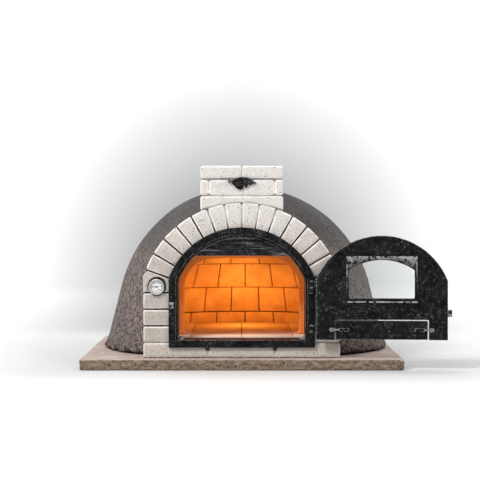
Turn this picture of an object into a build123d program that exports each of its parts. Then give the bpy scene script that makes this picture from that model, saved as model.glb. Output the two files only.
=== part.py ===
"""Wood fired pizza oven: a brick dome on a slab, with a brick facade, a chimney and a cast iron door.

Millimetres. X runs right, Y runs back, Z runs up. The origin is the centre of the slab's underside.
"""
from build123d import *
from math import asin, cos, degrees, radians, sin, sqrt, tan
import os

os.makedirs("parts", exist_ok=True)

# Driving dimensions ---------------------------------------------------------------------------
SLAB_SIDE = 1100
SLAB_THICK = 37
SLAB_TOP = SLAB_THICK

HEARTH_BED = 16
HEARTH_TILE = 50
HEARTH_TOP = SLAB_TOP + HEARTH_BED + HEARTH_TILE
TILE_PITCH = 180
TILE_JOINT = 2

# Dome: a sphere over a wall that leans in and meets it at a tangent.
DOME_X = 14
DOME_RADIUS = 470
DOME_Z = SLAB_TOP + 122
WALL_LEAN = 14
RENDER_THICK = 25
BLANKET_THICK = 40
DOME_BRICK = 65
BRICK_OUTER = DOME_RADIUS - RENDER_THICK - BLANKET_THICK
BRICK_INNER = BRICK_OUTER - DOME_BRICK
DOME_JOINT = 4
COURSE_ANGLES = [14, 31, 48, 65, 80]
COURSE_COUNTS = [20, 20, 19, 16, 12, 7]
WALL_SPLIT = SLAB_TOP + 108

# Facade: half bricks around an arched opening.
FACADE_Y = -486
BRICK_DEPTH = 105
FACADE_BACK = FACADE_Y + BRICK_DEPTH
FACADE_HALF = 336.4
ARCH_Z = SLAB_TOP + 180.4
OPENING_HALF = 231.4
OPENING_RADIUS = 246
ARCH_OUTER = 350
JOINT = 5
MORTAR_SET_BACK = 6
SILL_TOP = SLAB_TOP + 50
SILL_JOINTS = [-117, 113]
COURSE_PITCH = 57
JAMB_START = SLAB_TOP + 52
SPRINGER_ANGLE = 69.7
VOUSSOIR_COUNT = 14

# Entrance vault and neck, between the facade and the dome.
VAULT_HALF = 316.4
VAULT_RADIUS = 331
VAULT_END = -160
VAULT_ROW = -270
VAULT_LIFT = 88
VAULT_JOINT = 2
CROWN_VOUSSOIRS = 2
DOORWAY_Y = -262
DOORWAY_THICK = 32
DOORWAY_HALF = 204
DOORWAY_TOP = HEARTH_TOP + 267
DOORWAY_CORNER = 105
DOORWAY_FOOT = 14
NECK_HALF = 333.4
NECK_RADIUS = 347

# Chimney over the arch.
CHIMNEY_HALF = 141.5
CHIMNEY_BACK = FACADE_Y + 2 * CHIMNEY_HALF
CHIMNEY_Y = (FACADE_Y + CHIMNEY_BACK) / 2
FLUE_Y = -311
FLUE_RADIUS = 65
SLIP_THICK = 27
SPANDREL_TOP = SLAB_TOP + 552
LOWER_SLIPS = (SLAB_TOP + 556, SLAB_TOP + 608)
UPPER_SLIPS = (SLAB_TOP + 613, SLAB_TOP + 656)
CHIMNEY_TOP = UPPER_SLIPS[1]

# Flue damper.
DAMPER_HALF = 74
DAMPER_THICK = 4
DAMPER_Z = (LOWER_SLIPS[1] + UPPER_SLIPS[0]) / 2
DAMPER_BACK = -240
DAMPER_FRONT = FACADE_Y + 2
DAMPER_CLEAR = 0.6
PULL_Y = FACADE_Y - 5
PULL_THICK = 8

# Thermometer in the left springer brick.
GAUGE_X = -291
GAUGE_Z = SLAB_TOP + 243
GAUGE_RADIUS = 27
STEM_RADIUS = 4
STEM_END = -330

# Door frame.
FRAME_Y = -500
FRAME_HALF = 250
FRAME_RADIUS = 266
FRAME_BOTTOM = SLAB_TOP + 35
REBATE_HALF = 224
REBATE_RADIUS = 240
REBATE_BACK = -487.5
SLEEVE_OUTER_HALF = 229
SLEEVE_OUTER_RADIUS = 244
SLEEVE_HALF = 216.5
SLEEVE_RADIUS = 232
SLEEVE_BOTTOM = SLAB_TOP + 52
SLEEVE_BACK = FACADE_BACK - 1
LEDGE_TOP = SLAB_TOP + 62
RIM_CHAMFER = 2
BAFFLE_Y = -478
BAFFLE_THICK = 6
BAFFLE_BOTTOM = SLAB_TOP + 348.6
GUSSET = 20
KEEPER_Z = (SLAB_TOP + 170, SLAB_TOP + 191)
ANCHOR_Z = SLAB_TOP + 30
ANCHOR_END = FACADE_Y + 40
ANCHOR_SHANK = 2.4

# Door: shown open. Its plane has x away from the hinge, y up and z towards the oven when closed.
HINGE_X = 237.5
HINGE_Y = -510
DOOR_OPEN = 176
PIN_RADIUS = 4
PIN_CLEAR = 0.05
KNUCKLE_RADIUS = 8.5
KNUCKLES = [(SLAB_TOP + 72, SLAB_TOP + 92), (SLAB_TOP + 221, SLAB_TOP + 241.5)]
KNUCKLE_GAP = 0.5
DOOR_HALF = 222
DOOR_RADIUS = 238
DOOR_BOTTOM = SLAB_TOP + 66
DOOR_OUTER = 12
DOOR_INNER = 22
DOOR_MID = HINGE_X
WINDOW_HALF = 110.5
WINDOW_BOTTOM = SLAB_TOP + 207
WINDOW_SIDE = 94
WINDOW_RISE = 35
RETAINER_HALF = 119.5
RETAINER_TOP = WINDOW_BOTTOM + WINDOW_SIDE + WINDOW_RISE + 13
RETAINER_BOTTOM = WINDOW_BOTTOM - 15
RETAINER_THICK = 3
GLASS_HALF = WINDOW_HALF + 5
GLASS_TOP = RETAINER_TOP - 4
GLASS_BOTTOM = RETAINER_BOTTOM + 8
GLASS_IN = DOOR_INNER - 4
GLASS_THICK = 4
GASKET_THICK = 1.5
FLAP_HALF = 155
FLAP_GAP = 3
FLAP_BOTTOM = DOOR_BOTTOM + 1
FLAP_TOP = SLAB_TOP + 131
FLAP_AXIS_Z = SLAB_TOP + 100
FLAP_AXIS_IN = 25
FLAP_PIN = 3
FLAP_PIN_ENDS = (110, 177)
FLAP_OUTER = 13.5
FLAP_INNER = 21.5
FLAP_PULL_HALF = 53
FLAP_PULL_Z = SLAB_TOP + 82
FLAP_PULL_OUT = -2
LATCH_X = 430
LATCH_Z = SLAB_TOP + 156
TONGUE_END = 474.5


DOME_SECTION = Plane(origin=(DOME_X, 0, 0), x_dir=(1, 0, 0), z_dir=(0, -1, 0))
DOME_AXIS = Axis((DOME_X, 0, 0), (0, 0, 1))


def front(y):
    """Plane facing the viewer at the given Y, with its y axis up."""
    return Plane.XZ.offset(-y)


def save(shape, name):
    """Label a finished piece and write its STEP file."""
    shape.label = name
    export_step(shape, f"parts/{name}.step")


def arch_face(y, half_width, radius, bottom):
    """Arched outline on a front plane: straight sides, and an arc about the arch centre."""
    spring = ARCH_Z + sqrt(radius**2 - half_width**2)
    with BuildSketch(front(y)) as face:
        with BuildLine():
            Polyline((-half_width, spring), (-half_width, bottom), (half_width, bottom), (half_width, spring))
            ThreePointArc((half_width, spring), (0, ARCH_Z + radius), (-half_width, spring))
        make_face()
    return face.sketch


def arch_block(y_front, y_back, half_width, radius, bottom):
    """Solid of an arched outline between two depths."""
    with BuildPart() as block:
        extrude(arch_face(y_front, half_width, radius, bottom), amount=y_front - y_back)
    return block.part


def wall_radius(radius, z):
    """Radius of the leaning wall at height z, for the dome surface of the given sphere radius."""
    lean = radians(WALL_LEAN)
    tangent_z = DOME_Z + radius * sin(lean)
    return radius * cos(lean) + (tangent_z - z) * tan(lean)


def dome_point(radius, angle):
    """Point (r, z) on the dome's sphere at an angle above its centre."""
    return (radius * cos(radians(angle)), DOME_Z + radius * sin(radians(angle)))


def dome_volume(radius):
    """Everything under one dome surface, down to the slab."""
    with BuildPart() as volume:
        with BuildSketch(DOME_SECTION):
            with BuildLine():
                Polyline((0, DOME_Z + radius), (0, SLAB_TOP), (wall_radius(radius, SLAB_TOP), SLAB_TOP))
                Line((wall_radius(radius, SLAB_TOP), SLAB_TOP), dome_point(radius, WALL_LEAN))
                ThreePointArc(dome_point(radius, WALL_LEAN), dome_point(radius, 50), (0, DOME_Z + radius))
            make_face()
        revolve(axis=DOME_AXIS)
    return volume.part


def box_between(low, high):
    """Box from its lowest to its highest corner."""
    size = [b - a for a, b in zip(low, high)]
    centre = [(a + b) / 2 for a, b in zip(low, high)]
    with BuildPart() as block:
        with Locations(Location(centre)):
            Box(*size)
    return block.part


def cylinder_y(x, z, y_front, y_back, radius):
    """Cylinder along Y."""
    with BuildPart() as rod:
        with BuildSketch(front(y_front)):
            with Locations((x, z)):
                Circle(radius)
        extrude(amount=y_front - y_back)
    return rod.part


def block_group(y_front, y_back, polygons):
    """Straight-sided blocks from outlines on a front plane, each a separate solid."""
    with BuildPart() as group:
        for points in polygons:
            with BuildSketch(front(y_front)):
                Polygon(*points, align=None)
            extrude(amount=y_front - y_back)
    return group.part


# Shared envelopes -----------------------------------------------------------------------------
VAULT_ENVELOPE = arch_block(-600, VAULT_END, VAULT_HALF, VAULT_RADIUS, SLAB_TOP)
CHIMNEY_ENVELOPE = box_between(
    (-CHIMNEY_HALF, FACADE_Y, SLAB_TOP + 460), (CHIMNEY_HALF, CHIMNEY_BACK, CHIMNEY_TOP + 50)
)
IN_FRONT = box_between((-600, -600, 0), (600, FACADE_BACK, 800))


# Slab and hearth ------------------------------------------------------------------------------
def base_slab():
    with BuildPart() as slab:
        with BuildSketch():
            Rectangle(SLAB_SIDE, SLAB_SIDE)
        extrude(amount=SLAB_THICK)
        chamfer(slab.edges(), 1)
    save(slab.part, "base_slab")


def hearth_outline(plane_z, radius):
    """Round hearth with a tongue that runs out through the entrance."""
    with BuildSketch(Plane.XY.offset(plane_z)) as outline:
        with Locations((DOME_X, 0)):
            Circle(radius)
        with Locations((0, (FACADE_BACK - 1 - 200) / 2)):
            Rectangle(2 * OPENING_HALF - 4, -200 - FACADE_BACK - 1)
    return outline.sketch


def hearth():
    with BuildPart() as bed:
        extrude(hearth_outline(SLAB_TOP, 374), amount=HEARTH_BED)
    save(bed.part, "hearth_bed")

    with BuildPart() as tiles:
        extrude(hearth_outline(SLAB_TOP + HEARTH_BED, 361), amount=HEARTH_TILE)
        for index in range(-2, 3):
            offset_y = index * TILE_PITCH
            with Locations((0, offset_y, HEARTH_TOP - HEARTH_TILE / 2)):
                Box(SLAB_SIDE, TILE_JOINT, HEARTH_TILE + 2, mode=Mode.SUBTRACT)
            with Locations((offset_y, 0, HEARTH_TOP - HEARTH_TILE / 2)):
                Box(TILE_JOINT, SLAB_SIDE, HEARTH_TILE + 2, mode=Mode.SUBTRACT)
    save(tiles.part, "hearth_tiles")


# Dome -----------------------------------------------------------------------------------------
def course_profiles():
    """Cross-sections (r, z) of the dome's brick courses, from the bottom up."""
    half = DOME_JOINT / 2
    first_angle = COURSE_ANGLES[0]
    profiles = [
        [
            (wall_radius(BRICK_INNER, SLAB_TOP), SLAB_TOP),
            (wall_radius(BRICK_OUTER, SLAB_TOP), SLAB_TOP),
            (wall_radius(BRICK_OUTER, WALL_SPLIT - half), WALL_SPLIT - half),
            (wall_radius(BRICK_INNER, WALL_SPLIT - half), WALL_SPLIT - half),
        ],
        [
            (wall_radius(BRICK_INNER, WALL_SPLIT + half), WALL_SPLIT + half),
            (wall_radius(BRICK_OUTER, WALL_SPLIT + half), WALL_SPLIT + half),
            dome_point(BRICK_OUTER, first_angle - degrees(half / BRICK_OUTER)),
            dome_point(BRICK_INNER, first_angle - degrees(half / BRICK_INNER)),
        ],
    ]
    for low, high in zip(COURSE_ANGLES[:-1], COURSE_ANGLES[1:]):
        profiles.append(
            [
                dome_point(BRICK_INNER, low + degrees(half / BRICK_INNER)),
                dome_point(BRICK_OUTER, low + degrees(half / BRICK_OUTER)),
                dome_point(BRICK_OUTER, high - degrees(half / BRICK_OUTER)),
                dome_point(BRICK_INNER, high - degrees(half / BRICK_INNER)),
            ]
        )
    return profiles


def dome_courses():
    for index, profile in enumerate(course_profiles()):
        count = COURSE_COUNTS[index]
        with BuildPart() as course:
            with BuildSketch(DOME_SECTION):
                Polygon(*profile, align=None)
            revolve(axis=DOME_AXIS)
            start = 90 + (180 / count if index % 2 else 0)
            with Locations((DOME_X, 0, 0)):
                with PolarLocations(0, count, start_angle=start):
                    with Locations((SLAB_SIDE / 4, 0, DOME_Z)):
                        Box(SLAB_SIDE / 2, DOME_JOINT, SLAB_SIDE, mode=Mode.SUBTRACT)
            add(VAULT_ENVELOPE, mode=Mode.SUBTRACT)
        save(course.part, f"dome_course_{index + 1}")

    cap = COURSE_ANGLES[-1]
    gap = degrees(DOME_JOINT / 2 / BRICK_INNER)
    with BuildPart() as keystone:
        with BuildSketch(DOME_SECTION):
            Polygon(
                (0, DOME_Z + BRICK_INNER - 2),
                dome_point(BRICK_INNER, cap + gap),
                dome_point(BRICK_OUTER, cap + gap),
                (0, DOME_Z + BRICK_OUTER - 7),
                align=None,
            )
        revolve(axis=DOME_AXIS)
    save(keystone.part, "dome_keystone")


def dome_shells():
    blanket_outer = DOME_RADIUS - RENDER_THICK
    with BuildPart() as blanket:
        add(dome_volume(blanket_outer))
        add(dome_volume(BRICK_OUTER), mode=Mode.SUBTRACT)
        add(VAULT_ENVELOPE, mode=Mode.SUBTRACT)
        add(CHIMNEY_ENVELOPE, mode=Mode.SUBTRACT)
        add(IN_FRONT, mode=Mode.SUBTRACT)
    save(blanket.part, "dome_insulation")

    with BuildPart() as render:
        add(dome_volume(DOME_RADIUS))
        add(arch_block(FACADE_BACK, VAULT_END, NECK_HALF, NECK_RADIUS, SLAB_TOP))
        add(dome_volume(blanket_outer), mode=Mode.SUBTRACT)
        add(VAULT_ENVELOPE, mode=Mode.SUBTRACT)
        add(CHIMNEY_ENVELOPE, mode=Mode.SUBTRACT)
        add(IN_FRONT, mode=Mode.SUBTRACT)
    save(render.part, "dome_render")


def vault_joint(angle):
    """Thin slab along a radius of the arch, at an angle from its crown."""
    reach = ARCH_OUTER - OPENING_HALF
    with BuildPart() as slab:
        with Locations(Location((0, 0, ARCH_Z), (0, angle, 0))):
            with Locations((0, (FACADE_BACK + VAULT_END) / 2, OPENING_HALF + reach / 2)):
                Box(VAULT_JOINT, VAULT_END - FACADE_BACK + 2, reach + 20)
    return slab.part


def entrance_vault():
    pitch = SPRINGER_ANGLE / (VOUSSOIR_COUNT / 2)
    crown_angle = CROWN_VOUSSOIRS * pitch
    with BuildPart() as vault:
        add(arch_block(FACADE_BACK, VAULT_END, VAULT_HALF, VAULT_RADIUS, SLAB_TOP))
        add(arch_block(FACADE_BACK - 1, 0, OPENING_HALF, OPENING_RADIUS, 0), mode=Mode.SUBTRACT)
        add(dome_volume(BRICK_INNER), mode=Mode.SUBTRACT)

    reach = 2 * VAULT_RADIUS
    spread = reach * tan(radians(crown_angle))
    with BuildPart() as wedge:
        with BuildSketch(front(FACADE_BACK - 1)):
            Polygon((0, ARCH_Z), (spread, ARCH_Z + reach), (-spread, ARCH_Z + reach), align=None)
        extrude(amount=FACADE_BACK - VAULT_END - 2)

    with BuildPart() as crown:
        add(vault.part)
        add(wedge.part, mode=Mode.INTERSECT)
        with Locations((0, FLUE_Y, ARCH_Z + VAULT_RADIUS)):
            Cylinder(FLUE_RADIUS, 300, mode=Mode.SUBTRACT)
    save(crown.part, "vault_crown")

    with BuildPart() as bricks:
        add(vault.part)
        add(wedge.part, mode=Mode.SUBTRACT)
        for index in range(CROWN_VOUSSOIRS, VOUSSOIR_COUNT // 2 + 1):
            for side in (-1, 1):
                add(vault_joint(side * index * pitch), mode=Mode.SUBTRACT)
        for lift in (1, 2):
            joint_z = SLAB_TOP + lift * VAULT_LIFT
            add(
                box_between(
                    (-VAULT_HALF - 1, FACADE_BACK - 1, joint_z - VAULT_JOINT / 2),
                    (VAULT_HALF + 1, VAULT_END + 1, joint_z + VAULT_JOINT / 2),
                ),
                mode=Mode.SUBTRACT,
            )
        add(
            box_between(
                (-VAULT_HALF - 1, VAULT_ROW - VAULT_JOINT / 2, 0),
                (VAULT_HALF + 1, VAULT_ROW + VAULT_JOINT / 2, ARCH_Z + VAULT_RADIUS + 1),
            ),
            mode=Mode.SUBTRACT,
        )
        add(cylinder_y(GAUGE_X, GAUGE_Z, FACADE_BACK - 1, STEM_END + 1, STEM_RADIUS + 1), mode=Mode.SUBTRACT)
    save(bricks.part, "vault_bricks")


def doorway_arch():
    """Slab that closes the vault's inner end down to a lower doorway with rounded corners."""
    with BuildPart() as arch:
        add(arch_block(DOORWAY_Y, DOORWAY_Y + DOORWAY_THICK, OPENING_HALF, OPENING_RADIUS, HEARTH_TOP))
        with BuildSketch(front(DOORWAY_Y - 1)) as doorway:
            with Locations((0, (HEARTH_TOP + DOORWAY_TOP) / 2)):
                Rectangle(2 * DOORWAY_HALF, DOORWAY_TOP - HEARTH_TOP)
            fillet(doorway.vertices().group_by(Axis.Y)[-1], DOORWAY_CORNER)
            fillet(doorway.vertices().group_by(Axis.Y)[0], DOORWAY_FOOT)
        extrude(amount=-DOORWAY_THICK - 2, mode=Mode.SUBTRACT)
    save(arch.part, "doorway_arch")


# Facade ---------------------------------------------------------------------------------------
def sill_outlines():
    edges = [-FACADE_HALF] + SILL_JOINTS + [FACADE_HALF]
    outlines = []
    for left, right in zip(edges[:-1], edges[1:]):
        low = left + (JOINT / 2 if left != edges[0] else 0)
        high = right - (JOINT / 2 if right != edges[-1] else 0)
        outlines.append([(low, SLAB_TOP), (high, SLAB_TOP), (high, SILL_TOP), (low, SILL_TOP)])
    return outlines


def jamb_outlines(side):
    """Three half bricks on one side; side is -1 or 1."""
    outlines = []
    for index in range(3):
        low = JAMB_START + index * COURSE_PITCH + JOINT / 2
        high = JAMB_START + (index + 1) * COURSE_PITCH - JOINT / 2
        corners = [(OPENING_HALF, low), (FACADE_HALF, low), (FACADE_HALF, high), (OPENING_HALF, high)]
        outlines.append([(side * x, z) for x, z in corners])
    return outlines


def springer_outline(side):
    """Brick under the arch: flat bed, top along the arch's radius, outer corner trimmed."""
    slope = 1 / tan(radians(SPRINGER_ANGLE))
    drop = JOINT / 2 / sin(radians(SPRINGER_ANGLE))
    bed = JAMB_START + 3 * COURSE_PITCH + JOINT / 2
    trim_x = FACADE_HALF - 14
    corner_z = ARCH_Z + FACADE_HALF * slope - drop
    points = [
        (OPENING_HALF, bed),
        (FACADE_HALF, bed),
        (FACADE_HALF, corner_z - 20),
        (trim_x, ARCH_Z + trim_x * slope - drop),
        (OPENING_HALF, ARCH_Z + OPENING_HALF * slope - drop),
    ]
    return [(side * x, z) for x, z in points]


def voussoir_outline(index):
    """Tapered arch brick, counted from the left springer."""
    pitch = 2 * SPRINGER_ANGLE / VOUSSOIR_COUNT
    start = -SPRINGER_ANGLE + index * pitch
    points = []
    for radius, order in [(OPENING_RADIUS, (0, 1)), (ARCH_OUTER, (1, 0))]:
        gap = degrees(asin(JOINT / 2 / radius))
        ends = [start + gap, start + pitch - gap]
        for end in order:
            angle = radians(ends[end])
            points.append((radius * sin(angle), ARCH_Z + radius * cos(angle)))
    return points


def facade():
    depth = (FACADE_Y, FACADE_BACK)
    half_count = VOUSSOIR_COUNT // 2
    voussoirs = [voussoir_outline(index) for index in range(VOUSSOIR_COUNT)]
    save(block_group(*depth, sill_outlines()), "sill_bricks")
    save(block_group(*depth, jamb_outlines(-1)), "jamb_bricks_left")
    save(block_group(*depth, jamb_outlines(1)), "jamb_bricks_right")
    save(block_group(*depth, [springer_outline(1)]), "springer_right")
    save(block_group(*depth, voussoirs[:half_count]), "arch_voussoirs_left")
    save(block_group(*depth, voussoirs[half_count:]), "arch_voussoirs_right")

    with BuildPart() as springer:
        add(block_group(*depth, [springer_outline(-1)]))
        add(cylinder_y(GAUGE_X, GAUGE_Z, FACADE_Y - 1, FACADE_BACK + 1, STEM_RADIUS + 1), mode=Mode.SUBTRACT)
    save(springer.part, "springer_left")

    outlines = sill_outlines() + jamb_outlines(-1) + jamb_outlines(1)
    outlines += [springer_outline(-1), springer_outline(1)] + voussoirs
    mortar_front = FACADE_Y + MORTAR_SET_BACK
    with BuildPart() as mortar:
        with BuildSketch(front(mortar_front)):
            opening = arch_face(mortar_front, OPENING_HALF, OPENING_RADIUS, SILL_TOP + 2)
            add(arch_face(mortar_front, FACADE_HALF - 4, ARCH_OUTER - 5, SLAB_TOP).faces())
            add(opening.faces(), mode=Mode.SUBTRACT)
            for points in outlines:
                Polygon(*points, align=None, mode=Mode.SUBTRACT)
        extrude(amount=mortar_front - FACADE_BACK)
        for x in SILL_JOINTS:
            add(cylinder_y(x, ANCHOR_Z, FACADE_Y, ANCHOR_END, ANCHOR_SHANK), mode=Mode.SUBTRACT)
    save(mortar.part, "facade_mortar")


# Chimney --------------------------------------------------------------------------------------
def spandrel_and_base():
    low = SLAB_TOP + 460
    arch_bed = ARCH_OUTER + 3.5
    with BuildPart() as spandrel:
        add(box_between((-CHIMNEY_HALF, FACADE_Y, low), (CHIMNEY_HALF, FACADE_BACK, SPANDREL_TOP)))
        add(arch_block(FACADE_Y - 1, FACADE_BACK + 1, FACADE_HALF, arch_bed, SLAB_TOP), mode=Mode.SUBTRACT)
    save(spandrel.part, "spandrel_block")

    with BuildPart() as base:
        add(box_between((-CHIMNEY_HALF, FACADE_BACK, low), (CHIMNEY_HALF, CHIMNEY_BACK, SPANDREL_TOP)))
        add(VAULT_ENVELOPE, mode=Mode.SUBTRACT)
        with Locations((0, FLUE_Y, SPANDREL_TOP)):
            Cylinder(FLUE_RADIUS, 400, mode=Mode.SUBTRACT)
    save(base.part, "chimney_base")


def slip_boxes(course, long_sides):
    """Corners of the six slips of one course; long_sides says that the side slips reach the corners."""
    low, high = course
    half = JOINT / 4 + 0.75
    inner = CHIMNEY_HALF - SLIP_THICK
    short = inner - 2 * half
    boxes = []
    for side in (-1, 1):
        edge = sorted((side * inner, side * CHIMNEY_HALF))
        edge_y = [CHIMNEY_Y + value for value in edge]
        for part in (-1, 1):
            split = sorted((part * half, part * CHIMNEY_HALF))
            if long_sides:
                boxes.append((edge, [CHIMNEY_Y + value for value in split], low, high))
            else:
                boxes.append((split, edge_y, low, high))
        if long_sides:
            boxes.append(([-short, short], edge_y, low, high))
        else:
            boxes.append((edge, [CHIMNEY_Y - short, CHIMNEY_Y + short], low, high))
    return boxes


def slip_course(course, long_sides):
    with BuildPart() as slips:
        for across, along, low, high in slip_boxes(course, long_sides):
            add(box_between((across[0], along[0], low), (across[1], along[1], high)))
    return slips.part


def flue_core(slips, low, high):
    """Cast block inside the slips, with the joints between them filled."""
    half = CHIMNEY_HALF - MORTAR_SET_BACK
    with BuildPart() as core:
        add(box_between((-half, CHIMNEY_Y - half, low), (half, CHIMNEY_Y + half, high)))
        add(slips, mode=Mode.SUBTRACT)
        with Locations((0, FLUE_Y, high)):
            Cylinder(FLUE_RADIUS, 400, mode=Mode.SUBTRACT)
    return core.part


def chimney():
    spandrel_and_base()
    lower = slip_course(LOWER_SLIPS, True)
    upper = slip_course(UPPER_SLIPS, False)
    save(flue_core(lower, SPANDREL_TOP, LOWER_SLIPS[1]), "flue_core_lower")
    save(flue_core(upper, UPPER_SLIPS[0], UPPER_SLIPS[1]), "flue_core_upper")
    save(lower, "chimney_slips_lower")
    save(upper, "chimney_slips_upper")

    guide_half = CHIMNEY_HALF - MORTAR_SET_BACK
    slot = DAMPER_HALF + DAMPER_CLEAR
    with BuildPart() as guide:
        add(box_between((-guide_half, CHIMNEY_Y - guide_half, LOWER_SLIPS[1]),
                        (guide_half, CHIMNEY_Y + guide_half, UPPER_SLIPS[0])))
        add(box_between((-slot, FACADE_Y - 1, 0), (slot, DAMPER_BACK + 3, 800)), mode=Mode.SUBTRACT)
    save(guide.part, "damper_guide")


def damper():
    low = DAMPER_Z - DAMPER_THICK / 2
    high = DAMPER_Z + DAMPER_THICK / 2
    with BuildPart() as plate:
        add(box_between((-DAMPER_HALF, DAMPER_FRONT, low), (DAMPER_HALF, DAMPER_BACK, high)))
        add(box_between((-14, PULL_Y, low), (14, DAMPER_FRONT + 1, high)))
        add(box_between((-14, PULL_Y, high - 24), (14, PULL_Y + 3, high)))
    save(plate.part, "damper_plate")

    # Scrolled leaf: a broad curling blade with a rolled stalk at its left end.
    centre_z = DAMPER_Z - 11
    upper = [(-40, 4), (-18, 12), (8, 18), (34, 12), (50, -1)]
    lower = [(50, -1), (30, -8), (10, -19), (-12, -10), (-40, -4)]
    upper_edge = [(x, centre_z + z) for x, z in upper]
    lower_edge = [(x, centre_z + z) for x, z in lower]
    with BuildPart() as pull:
        with BuildSketch(front(PULL_Y)):
            with BuildLine():
                Spline(*upper_edge)
                Spline(*lower_edge)
                Line(lower_edge[-1], upper_edge[0])
            make_face()
            with Locations((-42, centre_z + 3)):
                Circle(8)
        extrude(amount=PULL_THICK)
    save(pull.part, "damper_handle")

    with BuildPart() as rivets:
        for x in (-8, 8):
            add(cylinder_y(x, DAMPER_Z - 14, PULL_Y + 3, PULL_Y + 4.5, 3))
    save(rivets.part, "damper_rivets")


# Thermometer ----------------------------------------------------------------------------------
def thermometer():
    case_front = FACADE_Y - 12
    with BuildPart() as case:
        add(cylinder_y(GAUGE_X, GAUGE_Z, case_front, FACADE_Y, GAUGE_RADIUS))
        add(cylinder_y(GAUGE_X, GAUGE_Z, case_front - 1, FACADE_Y - 2, GAUGE_RADIUS - 2), mode=Mode.SUBTRACT)
        add(cylinder_y(GAUGE_X, GAUGE_Z, FACADE_Y - 3, FACADE_Y + 1, STEM_RADIUS), mode=Mode.SUBTRACT)
    save(case.part, "thermometer_case")

    with BuildPart() as bezel:
        add(cylinder_y(GAUGE_X, GAUGE_Z, case_front - 3, case_front, GAUGE_RADIUS + 2))
        add(cylinder_y(GAUGE_X, GAUGE_Z, case_front - 4, case_front, GAUGE_RADIUS - 4), mode=Mode.SUBTRACT)
        chamfer(bezel.edges().group_by(Axis.Y)[0], 1.4)
    save(bezel.part, "thermometer_bezel")

    dial_front = FACADE_Y - 5
    with BuildPart() as dial:
        add(cylinder_y(GAUGE_X, GAUGE_Z, dial_front, FACADE_Y - 2, GAUGE_RADIUS - 2))
        add(cylinder_y(GAUGE_X, GAUGE_Z, dial_front - 1, FACADE_Y, 1 + PIN_CLEAR), mode=Mode.SUBTRACT)
    save(dial.part, "thermometer_dial")

    with BuildPart() as needle:
        add(cylinder_y(GAUGE_X, GAUGE_Z, dial_front - 2, dial_front - 1, 3.2))
        add(cylinder_y(GAUGE_X, GAUGE_Z, dial_front - 1, dial_front + 2, 1))
        with BuildSketch(front(dial_front - 2)):
            with Locations((GAUGE_X, GAUGE_Z)):
                Polygon((-19, -0.5), (7, -1.3), (7, 1.3), (-19, 0.5), align=None)
        extrude(amount=-1)
    save(needle.part, "thermometer_needle")

    save(cylinder_y(GAUGE_X, GAUGE_Z, case_front, case_front + 1.5, GAUGE_RADIUS - 2), "thermometer_glass")
    save(cylinder_y(GAUGE_X, GAUGE_Z, FACADE_Y - 2, STEM_END, STEM_RADIUS), "thermometer_stem")


# Door frame -----------------------------------------------------------------------------------
def hinge_knuckle(low, high, radius):
    with BuildPart() as knuckle:
        with Locations((HINGE_X, HINGE_Y, (low + high) / 2)):
            Cylinder(radius, high - low)
    return knuckle.part


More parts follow.
